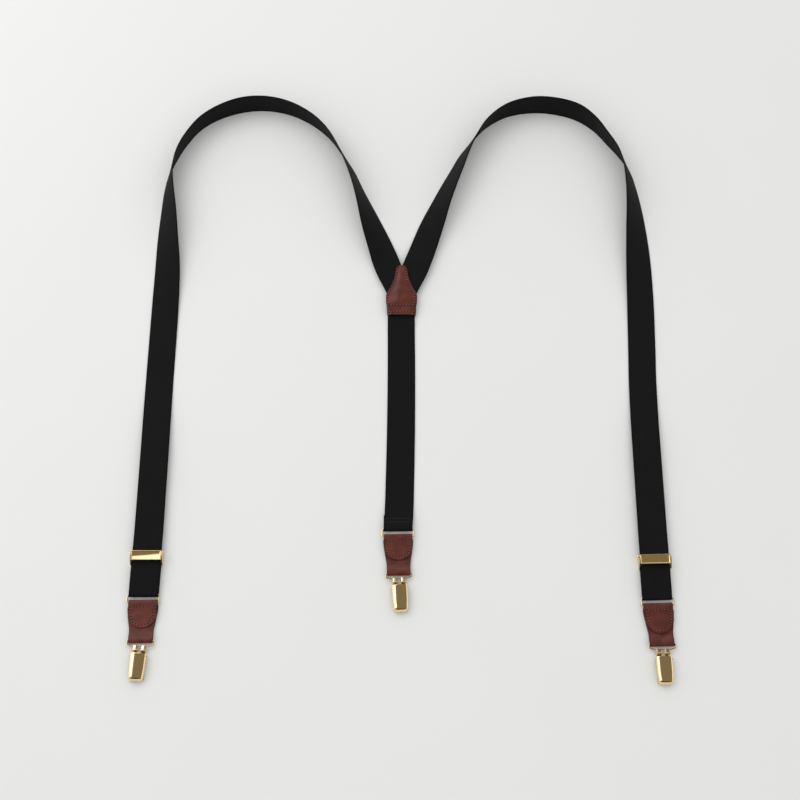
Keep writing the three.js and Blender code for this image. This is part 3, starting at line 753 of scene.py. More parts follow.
@dataclass(frozen=True)
class LeatherFinish:
    """Smooth dyed leather with a light finish coat and darker burnished edges."""

    deep: tuple[float, float, float, float] = (0.078, 0.0140, 0.0092, 1.0)
    warm: tuple[float, float, float, float] = (0.138, 0.0245, 0.0160, 1.0)
    edge: tuple[float, float, float, float] = (0.040, 0.009, 0.007, 1.0)
    roughness: float = 0.46
    coat: float = 0.08
    bump_mm: float = 0.07
    grain_scale: float = 1.0

    def material(self, name: str) -> bpy.types.Material:
        """Return the material, which reads Object coordinates and the piece's edge attribute."""
        material, b, shader = start_material(name)
        grain = use_group(b, Groups.grain, {"Vector": in_millimetres(b), "Scale": self.grain_scale})
        tone = b.mix(b.ramp(grain.outputs["Blotch"], 0.3, 0.7), self.deep, self.warm)
        pored = b.mix(b.math("MULTIPLY", grain.outputs["Pores"], 0.4), tone, self.deep)
        worn = b.node("ShaderNodeAttribute", attribute_name="edge")
        colour = b.mix(worn.outputs["Fac"], pored, self.edge)
        bump = b.node("ShaderNodeBump", {"Height": grain.outputs["Height"], "Strength": 0.55,
                                         "Distance": self.bump_mm * MM})
        rough = b.math("ADD", b.math("MULTIPLY", grain.outputs["Height"], 0.18), self.roughness - 0.03)
        b.tree.links.new(colour, shader.inputs["Base Color"])
        b.tree.links.new(rough, shader.inputs["Roughness"])
        b.tree.links.new(bump.outputs[0], shader.inputs["Normal"])
        shader.inputs["Specular IOR Level"].default_value = 0.34
        shader.inputs["Coat Weight"].default_value = self.coat
        shader.inputs["Coat Roughness"].default_value = 0.28
        return material


@dataclass(frozen=True)
class GiltFinish:
    """Polished pale gold plate."""

    colour: tuple[float, float, float, float] = (0.88, 0.67, 0.38, 1.0)
    pale: tuple[float, float, float, float] = (0.94, 0.77, 0.50, 1.0)
    roughness: float = 0.09

    def material(self, name: str) -> bpy.types.Material:
        """Return the material, which reads Object coordinates."""
        material, b, shader = start_material(name)
        marks = use_group(b, Groups.scratches, {"Vector": in_millimetres(b)})
        tone = b.mix(marks.outputs["Smudge"], self.colour, self.pale)
        rough = b.math("ADD", self.roughness - 0.05, b.math("MULTIPLY", marks.outputs["Smudge"], 0.1))
        bump = b.node("ShaderNodeBump", {"Height": marks.outputs["Height"], "Strength": 0.12,
                                         "Distance": 0.02 * MM})
        b.tree.links.new(tone, shader.inputs["Base Color"])
        b.tree.links.new(rough, shader.inputs["Roughness"])
        b.tree.links.new(bump.outputs[0], shader.inputs["Normal"])
        shader.inputs["Metallic"].default_value = 1.0
        return material


@dataclass(frozen=True)
class PadFinish:
    """Ivory moulded plastic of the grip pads."""

    light: tuple[float, float, float, float] = (0.72, 0.69, 0.60, 1.0)
    dull: tuple[float, float, float, float] = (0.60, 0.56, 0.47, 1.0)
    roughness: float = 0.5

    def material(self, name: str) -> bpy.types.Material:
        """Return the material, which reads Object coordinates."""
        material, b, shader = start_material(name)
        mottle = b.node("ShaderNodeTexNoise", {"Vector": in_millimetres(b), "Scale": 0.9, "Detail": 3.0})
        bump = b.node("ShaderNodeBump", {"Height": mottle.outputs[0], "Strength": 0.3, "Distance": 0.03 * MM})
        b.tree.links.new(b.mix(mottle.outputs[0], self.light, self.dull), shader.inputs["Base Color"])
        b.tree.links.new(bump.outputs[0], shader.inputs["Normal"])
        shader.inputs["Roughness"].default_value = self.roughness
        shader.inputs["Subsurface Weight"].default_value = 0.1
        shader.inputs["Subsurface Scale"].default_value = 0.5 * MM
        return material


@dataclass(frozen=True)
class ThreadFinish:
    """Waxed sewing thread, plied on the slant."""

    light: tuple[float, float, float, float]
    dark: tuple[float, float, float, float]
    roughness: float = 0.55

    def material(self, name: str) -> bpy.types.Material:
        """Return the material, which reads Object coordinates."""
        material, b, shader = start_material(name)
        place = in_millimetres(b)
        ply = b.node("ShaderNodeTexWave", {"Vector": place, "Scale": 3.4, "Distortion": 1.0},
                     wave_type="BANDS", bands_direction="DIAGONAL")
        bump = b.node("ShaderNodeBump", {"Height": ply.outputs["Fac"], "Strength": 0.6, "Distance": 0.05 * MM})
        # Painted shade: the ply's ridges lighter and its grooves darker, following the same bands as the bump.
        b.tree.links.new(b.mix(ply.outputs["Fac"], self.dark, self.light), shader.inputs["Base Color"])
        b.tree.links.new(bump.outputs[0], shader.inputs["Normal"])
        shader.inputs["Roughness"].default_value = self.roughness
        shader.inputs["Sheen Weight"].default_value = 0.15
        return material


@dataclass
class Finishes:
    """Every material of the suspenders."""

    webbing: bpy.types.Material = field(init=False)
    leather: bpy.types.Material = field(init=False)
    lining: bpy.types.Material = field(init=False)
    gilt: bpy.types.Material = field(init=False)
    pad: bpy.types.Material = field(init=False)
    leather_thread: bpy.types.Material = field(init=False)
    black_thread: bpy.types.Material = field(init=False)
    needle_pit_shade: bpy.types.Material = field(init=False)

    def __post_init__(self) -> None:
        """Make the materials."""
        Groups.build()
        self.webbing = WebbingFinish().material("webbing_black_twill")
        self.leather = LeatherFinish().material("leather_red_brown")
        self.lining = LeatherFinish(roughness=0.55, coat=0.1, grain_scale=1.6).material("leather_lining")
        self.gilt = GiltFinish().material("gilt_polished")
        self.pad = PadFinish().material("grip_pad_ivory")
        self.leather_thread = ThreadFinish((0.36, 0.105, 0.066, 1), (0.21, 0.052, 0.034, 1)).material(
            "thread_brown")
        # Near-black pits at the stitch ends: painted shade standing in for the inside of the needle holes.
        self.needle_pit_shade = ThreadFinish((0.012, 0.004, 0.003, 1), (0.007, 0.003, 0.002, 1), 0.9).material(
            "needle_pit_painted_shadow")
        self.black_thread = ThreadFinish((0.02, 0.02, 0.022, 1), (0.006, 0.006, 0.007, 1)).material(
            "thread_black")


def dress(thing: bpy.types.Object, material: bpy.types.Material) -> bpy.types.Object:
    """Give a piece its material and log it."""
    thing.data.materials.clear()
    thing.data.materials.append(material)
    LOG.info("%s: %d faces, %s", thing.name, len(thing.data.polygons), material.name)
    return thing


# ---------------------------------------------------------------- strips of webbing and leather


@dataclass
class Strip:
    """A flat strip swept along stations, given its thickness and rounded rims.

    half_width and rise are functions of the distance along and of the place across, from -1 to 1.
    """

    name: str
    stations: list[Station]
    thick: float
    columns: Sequence[float]
    half_width: Callable[[float], float]
    rise: Callable[[float, float], float] = lambda along, across: 0.0
    thinness: Callable[[float], float] = lambda across: 1.0
    rim_round: float = 0.3
    edge_band: float = 0.0

    def build(self) -> bpy.types.Object:
        """Return the finished strip, its UV map in metres across and along."""
        bm = bmesh.new()
        rows = len(self.stations) - 1
        lanes = len(self.columns) - 1
        bmesh.ops.create_grid(bm, x_segments=lanes, y_segments=rows, size=0.5)
        uv = bm.loops.layers.uv.new("UVMap")
        worn = bm.verts.layers.float.new("edge")
        weight = bm.verts.layers.deform.verify()
        spots = {}
        for vert in bm.verts:
            lane = self.columns[round((vert.co.x + 0.5) * lanes)]
            station = self.stations[round((vert.co.y + 0.5) * rows)]
            half = self.half_width(station.along)
            spots[vert] = (lane * half, station.along)
            vert.co = (station.centre + station.across * (lane * half)
                       + station.face * self.rise(station.along, lane)) * MM
            vert[weight][0] = self.thinness(lane)
            near = min((1 - abs(lane)) * half, abs(half) * 4)
            vert[worn] = 1.0 - smoothstep(near / self.edge_band) if self.edge_band else 0.0
        for face in bm.faces:
            for loop in face.loops:
                across, along = spots[loop.vert]
                loop[uv].uv = (across * MM, along * MM)
        bmesh.ops.remove_doubles(bm, verts=bm.verts, dist=0.02 * MM)
        bmesh.ops.dissolve_degenerate(bm, edges=bm.edges, dist=0.001 * MM)
        thing = to_object(self.name, bm, 180.0)
        thing.vertex_groups.new(name="thickness")
        shell = thing.modifiers.new("thickness", "SOLIDIFY")
        shell.thickness = self.thick * MM
        shell.offset = 0.0
        shell.vertex_group = "thickness"
        shell.thickness_vertex_group = 0.0
        shell.use_rim = True
        shell.use_quality_normals = True
        rounding = thing.modifiers.new("rounded rims", "BEVEL")
        rounding.width = self.rim_round * MM
        rounding.segments = 3
        rounding.limit_method = "ANGLE"
        rounding.angle_limit = math.radians(60)
        rounding.harden_normals = False
        settle(thing)
        thing.vertex_groups.clear()
        for polygon in thing.data.polygons:
            polygon.use_smooth = True
        return thing


WEB_HALF_COLUMNS = (0.35, 0.7, 0.86, 0.885, 0.915, 0.95, 0.985, 1)
WEB_COLUMNS = (*(-c for c in reversed(WEB_HALF_COLUMNS)), 0, *WEB_HALF_COLUMNS)
SELVEDGE_BEAD = 0.05
SELVEDGE_GROOVE = 0.11
WEB_BODY = 0.95


def web_thinness(across: float) -> float:
    """Return webbing's thickness share: a bead at the selvedge, a groove inside it and a full body."""
    edge = 1 - abs(across)
    if edge < SELVEDGE_BEAD:
        return 0.55 + 0.4 * smoothstep(edge / SELVEDGE_BEAD)
    if edge < SELVEDGE_BEAD + SELVEDGE_GROOVE:
        return WEB_BODY - 0.28 * math.sin(math.pi * (edge - SELVEDGE_BEAD) / SELVEDGE_GROOVE)
    return WEB_BODY


def web_strip(name: str, stations: list[Station]) -> Strip:
    """Return a strip of webbing along stations."""
    return Strip(name, stations, WEB_THICK, WEB_COLUMNS, lambda along: WEB_WIDTH / 2,
                 thinness=web_thinness, rim_round=0.22)


@dataclass(frozen=True)
class StitchSize:
    """One stitch of a seam, in millimetres."""

    length: float = 1.6
    pitch: float = 2.3
    width: float = 0.55
    sunk: float = 0.0


def seam(name: str, paths: Iterable[Sequence[Vector]], size: StitchSize) -> bpy.types.Object:
    """Sew stitches along paths.

    Args:
        name: the piece's name.
        paths: lists of points on the surface, in millimetres in the row frame.
        size: the stitch.

    Returns:
        One object that holds every stitch.
    """
    bm = bmesh.new()
    for path in paths:
        rows = even_steps(np.array([tuple(p) for p in path], float), size.pitch, 3)
        for a, b in zip(rows[:-1], rows[1:]):
            start, end = Vector(a), Vector(b)
            middle = (start + end) / 2
            turn = (end - start).to_track_quat("X", "Z").to_matrix().to_4x4()
            shape = Matrix.Diagonal((size.length / 2, size.width / 2, size.width / 2 * 0.8, 1.0))
            matrix = Matrix.Translation((middle - UP * size.sunk) * MM) @ Matrix.Scale(MM, 4) @ turn @ shape
            bmesh.ops.create_uvsphere(bm, u_segments=8, v_segments=5, radius=1.0,
                                      matrix=matrix @ Matrix.Rotation(math.pi / 2, 4, "Y"))
    return to_object(name, bm, 80.0)


def needle_pit_shadows(name: str, paths: Iterable[Sequence[Vector]], size: StitchSize) -> bpy.types.Object:
    """Put a flat dark pit at each stitch end of a seam: painted shade where the needle holes are.

    Args:
        name: the piece's name.
        paths: the seam's own paths.
        size: the seam's stitch.

    Returns:
        One object that holds every dark pit of painted needle-hole shade.
    """
    bm = bmesh.new()
    for path in paths:
        for row in even_steps(np.array([tuple(p) for p in path], float), size.pitch, 3):
            radius = size.width * 1.1 * MM
            spot = Matrix.Translation(Vector(row) * MM) @ Matrix.Diagonal((radius, radius, radius * 0.4, 1.0))
            bmesh.ops.create_uvsphere(bm, u_segments=8, v_segments=4, radius=1.0, matrix=spot)
    return to_object(name, bm, 80.0)


# ---------------------------------------------------------------- sub-assemblies


@dataclass
class ShoulderStrap:
    """One shoulder strap: the webbing from the yoke to the ring, and its sewn return to the adjuster."""

    side: Side
    finishes: Finishes
    route: Sequence[Sequence[float]]
    hand: int

    def __post_init__(self) -> None:
        """Find the strap's ring and adjuster."""
        name = self.side.value
        self.bar = Placement.of_joint(f"{name}_ring_swing")
        self.pivot = Placement.of_joint(f"{name}_lever_tilt")
        end_x, end_y = self.route[-1][:2]
        self.drift = (end_x - self.bar.x) / (end_y - self.bar.y) + math.tan(self.bar.turn)
        ahead = Vector((-math.sin(self.bar.turn), math.cos(self.bar.turn)))
        rise = Vector((self.pivot.x - self.bar.x, self.pivot.y - self.bar.y)).dot(ahead) - PIVOT_Y
        self.sewn_y = rise + SEWN_BAR[0]

    def front_stations(self) -> list[Station]:
        """Return the stations of the webbing's front run, from the yoke to just past the ring."""
        upper = route_stations(self.route, self.hand)
        end = upper[-1]
        local_end = (end.centre - Vector((self.bar.x, self.bar.y, 0))).dot(
            Vector((-math.sin(self.bar.turn), math.cos(self.bar.turn), 0)))
        path = [(local_end, RUN_Z), (30, RUN_Z), (19, RUN_Z), (10, 4.75), (3, HARDWARE_Z + FOLD_RADIUS)]
        path += half_turn(0, HARDWARE_Z, FOLD_RADIUS, 1)
        path += [(4, LAID_Z), (7, LAID_Z)]
        lower = side_stations(path, self.bar, 0.9, self.drift, end.along)
        lower[0] = Station(lower[0].centre, end.across, lower[0].face, lower[0].along)
        return upper[:-1] + lower

    def back_stations(self) -> list[Station]:
        """Return the stations of the sewn return, from under the ring to its end over the sewn bar."""
        _, bar_z, bar_radius = SEWN_BAR
        sewn = self.sewn_y
        wrap = bar_radius + 0.25 + WEB_THICK / 2
        path = [(7.3, LAID_Z), (sewn - 4, LAID_Z)]
        path += list(reversed(half_turn(sewn, bar_z, wrap, -1)))
        path += [(sewn - 3, 3.4), (sewn - 6, 2.4), (sewn - 12, 2.2)]
        return side_stations(path, self.bar, 0.8, self.drift)

    def build(self) -> None:
        """Build the strap's pieces; only the return's stitches follow a joint, on the adjuster."""
        name = self.side.value
        front = self.front_stations()
        cloth = web_strip(f"{name}_shoulder_webbing", front).build()
        strap = dress(cloth, self.finishes.webbing)
        blend_from = self.bar.point(0, 120, RUN_Z)
        blend_to = self.bar.point(0, 8, RUN_Z)
        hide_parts(f"{name}_strap")
        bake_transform(strap)
        back = self.back_stations()
        hem = dress(web_strip(f"{name}_sewn_return", back).build(), self.finishes.webbing)
        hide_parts(f"{name}_strap_fold")
        self.bar.point(0, 8, LAID_Z)
        self.bar.point(0, 16, LAID_Z)
        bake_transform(hem)
        rows = []
        for along in (7.0, 9.5):
            rows.append([self.bar.point(x, self.sewn_y - along, 2.85) / MM for x in (-10.5, 10.5)])
        stitches = seam(f"{name}_return_stitches", rows, StitchSize())
        thread = dress(stitches, self.finishes.black_thread)
        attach(thread, f"{name}_adjuster")


@dataclass
class RearStrap:
    """The rear strap, from under the yoke to its sewn fold round the rear ring."""

    finishes: Finishes
    end_length: float = 13.5

    def build(self) -> None:
        """Build the webbing and its two rows of stitches."""
        bar = Placement.of_joint("rear_ring_swing")
        reach = -bar.y
        drift = -bar.x / reach + math.tan(bar.turn)
        bowed = catmull_rom(np.array(REAR_ROUTE, float), 8)
        path = [tuple(row) for row in bowed]
        path += half_turn(0, HARDWARE_Z, FOLD_RADIUS, 1)
        path += [(6, LAID_Z), (self.end_length, LAID_Z)]
        stations = side_stations(path, bar, 1.2, drift)
        strap = dress(web_strip("rear_webbing", stations).build(), self.finishes.webbing)
        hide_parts("rear_strap")
        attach(strap, "harness")
        rows = []
        for y, z in ((6.2, 4.0), (9.4, 3.55)):
            rows.append([bar.point(x, y, z) / MM for x in (-10.8, 10.8)])
        stitches = seam("rear_fold_stitches", rows, StitchSize())
        thread = dress(stitches, self.finishes.black_thread)
        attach(thread, "harness")


# Half widths of the bell-shaped yoke patch, from its foot to its top, in millimetres.
BELL = ((-26.7, 12.1), (-26.2, 12.9), (-25.2, 13.15), (-16, 13.8), (-9, 14.5), (-5.2, 13.7), (-2.2, 12.3),
        (1.5, 10.5), (5.7, 8.8), (10, 7.1), (14.4, 6.15), (18.5, 5.6), (21.4, 5.0), (23.3, 3.8), (24.2, 2.4),
        (24.5, 0.0))


@dataclass
class Yoke:
    """The leather yoke: a crowned front patch, a flat lining and the seam that joins them."""

    finishes: Finishes
    rows: int = 120
    lanes: int = 56
    seam_inset: float = 2.0
    groove: float = 0.14
    crown: float = 1.5
    rim_z: float = 6.15

    def __post_init__(self) -> None:
        """Make the outline curve and the seam's paths in the plan."""
        self.width_at = table_curve(BELL)
        low, high = BELL[0][0], BELL[-1][0]
        inset = self.seam_inset
        sides = []
        for sign in (-1, 1):
            ys = np.linspace(low + inset + 0.3, high - inset - 0.8, 80)
            sides.append([(sign * self.inset_width(y), y) for y in ys])
        top = self.inset_width(high - inset - 0.8)
        foot = self.inset_width(low + inset + 0.3)
        self.seam_paths = [sides[0], sides[1], [(-top, high - inset - 0.8), (top, high - inset - 0.8)],
                           [(-foot, low + inset + 0.3), (foot, low + inset + 0.3)],
                           [(-foot - 0.1, -17.6), (foot + 0.1, -17.6)]]
        self.seam_points = np.array([p for path in self.seam_paths
                                     for p in even_steps(np.array(path, float), 0.4, 2)])

    def inset_width(self, y: float) -> float:
        """Return the half width of the seam line at y."""
        slope = (self.width_at(y + 0.5) - self.width_at(y - 0.5)) / 1.0
        return self.width_at(y) - self.seam_inset * math.sqrt(1 + min(slope * slope, 4.0))

    def height(self, x: float, y: float) -> float:
        """Return the height of the front patch's middle surface."""
        half = max(self.width_at(y), 0.4)
        across = min(abs(x) / half, 1.0)
        dip = 2.0 * smoothstep((-13 - y) / 11)
        ridge = self.crown * smoothstep((26 - y) / 10) * (1 - 0.75 * smoothstep((-12 - y) / 9))
        bulge = ridge * (1 - smoothstep((across - 0.12) / 0.72))
        droop = 0.9 * smoothstep((across - 0.75) / 0.25) * smoothstep((-4 - y) / 8)
        distance = np.min(np.hypot(self.seam_points[:, 0] - x, self.seam_points[:, 1] - y))
        return self.rim_z - dip + bulge - droop - self.groove * math.exp(-(distance / 0.5) ** 2)

    def patch(self, name: str, front: bool) -> bpy.types.Object:
        """Build one patch.

        Args:
            name: the piece's name.
            front: True for the crowned front, False for the flat lining.

        Returns:
            The patch.
        """
        low, high = BELL[0][0], BELL[-1][0]
        angles = np.linspace(0, math.pi, self.rows + 1)
        ys = (low + high) / 2 - (high - low) / 2 * np.cos(angles)
        stations = [Station(Vector((0, y, 0)), Vector((1, 0, 0)), UP, float(y)) for y in ys]
        lanes = [math.sin(math.pi / 2 * (2 * i / self.lanes - 1)) for i in range(self.lanes + 1)]

        def rise(along: float, across: float) -> float:
            """Return the patch's height."""
            return self.height(across * self.width_at(along), along) if front else LEATHER_THICK / 2

        strip = Strip(name, stations, LEATHER_THICK, lanes, lambda along: max(self.width_at(along), 0.01),
                      rise, rim_round=0.35, edge_band=0.7)
        return strip.build()

    def build(self) -> None:
        """Build the patches and the seam."""
        front = dress(self.patch("yoke_front_leather", True), self.finishes.leather)
        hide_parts("yoke_front")
        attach(front, "harness")
        back = dress(self.patch("yoke_lining", False), self.finishes.lining)
        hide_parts("yoke_back")
        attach(back, "harness")
        half = LEATHER_THICK / 2
        paths = []
        for path in self.seam_paths:
            fine = even_steps(np.array(path, float), 0.5, 2)
            paths.append([Vector((x, y, self.height(x, y) + half + 0.2)) for x, y in fine])
        size = StitchSize(1.5, 2.9, 0.78, -0.1)
        thread = dress(seam("yoke_stitches", paths, size), self.finishes.leather_thread)
        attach(thread, "harness")
        # Painted shade: a dark pit at each stitch end where the needle holes are.
        shade_pits = dress(needle_pit_shadows("yoke_needle_pit_shadows", paths, size), self.finishes.needle_pit_shade)
        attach(shade_pits, "harness")


# Half widths of a tab, from its foot to its top fold, in millimetres from the ring's bar.
TAB_SHAPE = table_curve(((-36, 10.0), (-28, 10.1), (-23.2, 10.25), (-18, 11.1), (-12.8, 11.9), (-7.5, 12.6),
                         (-3.2, 12.75), (-1.6, 12.35), (3, 12.3)))


@dataclass
class Tab:
    """A leather tab: one strip folded round the ring's bar and the clip's loop, its end sewn down as a D."""

    side: Side
    finishes: Finishes
    flap_length: float
    length: float = 32.9
    top_half: float = 12.3
    flap_half: float = 12.0
    flap_straight: float = 11.0
    eye: float = 1.75
    back_z: float = 0.65
    front_z: float = 1.85
    flap_z: float = 3.05

    def __post_init__(self) -> None:
        """Find the tab's bars and make its seam line."""
        name = self.side.value
        self.place = Placement.of_joint(f"{name}_tab_swing", f"{name}_clip_swing")
        inset = 2.1
        half = self.flap_half - inset
        reach = self.flap_length - inset - self.flap_straight
        arc = [(half * math.cos(a), -self.flap_straight - reach * math.sin(a))
               for a in np.linspace(0, math.pi, 60)]
        self.seam_path = [(-half, -4.2), (half, -4.2), (half, -self.flap_straight), *arc[1:-1],
                          (-half, -self.flap_straight), (-half, -4.2)]
        self.seam_points = even_steps(np.array(self.seam_path, float), 0.4, 2)

    def body_half(self, y: float) -> float:
        """Return the tab's half width at a place down its length."""
        return TAB_SHAPE(y)

    def path(self) -> list[tuple[float, float]]:
        """Return the strip's side view, from its hidden end to the tip of the flap."""
        foot = -self.length
        path = [(-5, self.front_z), (-22, self.front_z), (-25.5, self.front_z + 0.25),
                (-28.5, 3.1), (-31, HARDWARE_Z + self.eye - 0.25)]
        path += half_turn(foot, HARDWARE_Z, self.eye, 1)
        path += [(foot + 4, self.back_z + 0.03), (-4, self.back_z + 0.03)]
        path += list(reversed(half_turn(0, HARDWARE_Z, self.eye, -1)))
        path += [(-2.5, HARDWARE_Z + self.eye - 0.15), (-5.5, 3.35), (-8.5, self.flap_z),
                 (-self.flap_length, self.flap_z)]
        return path

    def build(self) -> None:
        """Build the folded strip and its stitches."""
        stations = side_stations(self.path(), self.place, 0.45)
        turn = self.place.matrix().inverted()
        local = [turn @ (s.centre * MM) for s in stations]
        top = max(range(len(stations)), key=lambda i: local[i].y)
        bottom = min(range(len(stations)), key=lambda i: local[i].y)
        flap_start = stations[top].along
        places = {s.along: (local[i].y, i > top) for i, s in enumerate(stations)}
        tip = stations[-1].along

        def half_width(along: float) -> float:
            """Return the half width there."""
            y, on_flap = places[along]
            if not on_flap:
                return self.body_half(y)
            spare = tip - along
            curve = self.flap_length - self.flap_straight
            rounded = self.flap_half * math.sqrt(max(1 - (1 - min(spare / curve, 1)) ** 2, 0.0001))
            start = smoothstep((along - flap_start) / 6)
            return min(rounded, self.top_half + (self.flap_half - self.top_half) * start)

        def rise(along: float, across: float) -> float:
            """Return how far the surface stands off its path."""
            y, on_flap = places[along]
            if not on_flap:
                return 0.0
            x = across * half_width(along)
            distance = np.min(np.hypot(self.seam_points[:, 0] - x, self.seam_points[:, 1] - y))
            ends = smoothstep((-y - 3) / 4) * smoothstep((tip - along) / 6)
            puff = 0.25 * (1 - smoothstep(abs(x) / 9)) * ends
            return puff - 0.12 * math.exp(-(distance / 0.5) ** 2)

        lanes = [math.sin(math.pi / 2 * (2 * i / 44 - 1)) * 0.6 + 0.4 * (2 * i / 44 - 1) for i in range(45)]
        name = self.side.value
        LOG.info("%s tab: %.1f mm of leather, its lowest fold at %.1f mm", name, tip, local[bottom].y)
        strip = Strip(f"{name}_tab_leather", stations, LEATHER_THICK, lanes, half_width, rise,
                      rim_round=0.35, edge_band=0.8)
        leather = dress(strip.build(), self.finishes.leather)
        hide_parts(f"{name}_tab")
        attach(leather, f"{name}_tab")
        heights = {round(y, 1): z for y, z in ((p.y, p.z) for p in local[top:])}
        ys = np.array(sorted(heights))
        zs = np.array([heights[y] for y in ys])
        seam_line = [self.place.point(x, y, float(np.interp(y, ys, zs)) + LEATHER_THICK / 2 - 0.05) / MM
                     for x, y in self.seam_points]
        size = StitchSize(1.35, 2.7, 0.6, -0.08)
        thread = dress(seam(f"{name}_tab_stitches", [seam_line], size), self.finishes.leather_thread)
        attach(thread, f"{name}_tab")
        # Painted shade: a dark pit at each stitch end where the needle holes are.
        shade_pits = dress(needle_pit_shadows(f"{name}_tab_needle_pit_shadows", [seam_line], size), self.finishes.needle_pit_shade)
        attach(shade_pits, f"{name}_tab")


@dataclass
class Ring:
    """A rectangular ring of round wire between strap and tab."""

    side: Side
    finishes: Finishes
    span: float = 27.0
    pitch: float = RING_PITCH
    corner: float = 1.6

    def build(self) -> None:
        """Build the ring."""
        name = self.side.value
        place = Placement.of_joint(f"{name}_ring_swing")
        bm = bmesh.new()
        half = self.span / 2
        corners = [Vector((half, 0, HARDWARE_Z)), Vector((-half, 0, HARDWARE_Z)),
                   Vector((-half, -self.pitch, HARDWARE_Z)), Vector((half, -self.pitch, HARDWARE_Z))]
        wire_loop(bm, corners, WIRE_RADIUS, self.corner)
        place_bmesh(bm, place)
        ring = dress(to_object(f"{name}_ring_wire", bm, 60.0), self.finishes.gilt)
        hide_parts(f"{name}_ring")
        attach(ring, f"{name}_ring")


@dataclass
class Adjuster:
    """A slide adjuster: a frame with an anvil and a sewn bar, a pivot pin, and a bordered lever plate."""

    side: Side
    finishes: Finishes
    pin_side: int
    inner: float = 13.1
    cheek: float = 0.65
    width: float = 25.6
    tall: float = 8.6
    base: float = 7.8
    rim_top: float = 8.9
    pivot_y: float = PIVOT_Y
    pivot_z: float = 7.6

    def __post_init__(self) -> None:
        """Find the adjuster from its lever's hinge."""
        hinge = Placement.of_joint(f"{self.side.value}_lever_tilt")
        corner = hinge.point(0, -self.pivot_y, 0) / MM
        self.place = Placement(corner.x, corner.y, hinge.turn)

    def frame(self) -> bpy.types.Object:
        """Build the frame."""
        bm = bmesh.new()
        cheek = [(-7.2, 0.6), (-7.2, 3.4), (-4.3, 6), (-2, 8.1), (-0.8, 8.5), (3.2, 8.5), (4.2, 7.8), (4.4, 7),
                 (4.4, 1), (3.6, 0.3), (-6.8, 0.3)]
        for sign in (-1, 1):
            side_plate(bm, cheek, sign * (self.inner + self.cheek / 2), self.cheek, 0.15)
        add_block(bm, (-self.inner - 0.2, -3.6, 3.3), (self.inner + 0.2, 3.6, 4.3), 0.2)
        add_bar(bm, -self.inner - 0.2, self.inner + 0.2, SEWN_BAR[0], SEWN_BAR[1], SEWN_BAR[2])
        place_bmesh(bm, self.place)
        return to_object(f"{self.side.value}_adjuster_body", bm)

    def pin(self) -> bpy.types.Object:
        """Build the pivot pin with its domed head."""
        bm = bmesh.new()
        reach = self.inner + self.cheek
        ends = sorted((-self.pin_side * (reach + 0.1), self.pin_side * (reach + 1.4)))
        add_bar(bm, ends[0], ends[1], self.pivot_y, self.pivot_z, 0.7, 20, 0.15)
        head = Matrix.Translation((self.pin_side * (reach + 0.75), self.pivot_y, self.pivot_z))
        bmesh.ops.create_uvsphere(bm, u_segments=20, v_segments=12, radius=1.35,
                                  matrix=head @ Matrix.Diagonal((0.65, 1, 1, 1)))
        place_bmesh(bm, self.place)
        return to_object(f"{self.side.value}_adjuster_pivot", bm, 60.0)

    def lever(self) -> bpy.types.Object:
        """Build the lever plate with its raised border, lugs and cam bar."""
        bm = bmesh.new()
        half_x, half_y = self.width / 2, self.tall / 2
        made = add_block(bm, (-half_x, -half_y, self.base), (half_x, half_y, self.rim_top))
        top = max(faces_of(made), key=lambda f: f.calc_center_median().z)
        bmesh.ops.inset_region(bm, faces=[top], thickness=1.0, depth=0.0)
        bmesh.ops.inset_region(bm, faces=[top], thickness=0.3, depth=-0.4)
        edges = [e for e in bm.edges if e.calc_face_angle(0.0) > 0.5]
        bmesh.ops.bevel(bm, geom=edges, offset=0.42, segments=4, profile=0.5, affect="EDGES", material=-1)
        for sign in (-1, 1):
            add_block(bm, (sign * 11.6 - 0.55, self.pivot_y - 1.6, self.pivot_z - 1.1),
                      (sign * 11.6 + 0.55, self.pivot_y + 1, self.base + 0.2), 0.2)
        add_block(bm, (-11.8, self.pivot_y - 2.5, 6.15), (11.8, self.pivot_y - 1.3, self.base + 0.2), 0.15)
        place_bmesh(bm, self.place)
        return to_object(f"{self.side.value}_adjuster_plate", bm)

    def build(self) -> None:
        """Build the adjuster's three pieces."""
        name = self.side.value
        for piece, node, body in ((self.frame(), "frame", "adjuster"), (self.pin(), "pin", "adjuster"),
                                  (self.lever(), "lever", "lever")):
            dress(piece, self.finishes.gilt)
            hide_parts(f"{name}_adjuster_{node}")
            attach(piece, f"{name}_{body}")


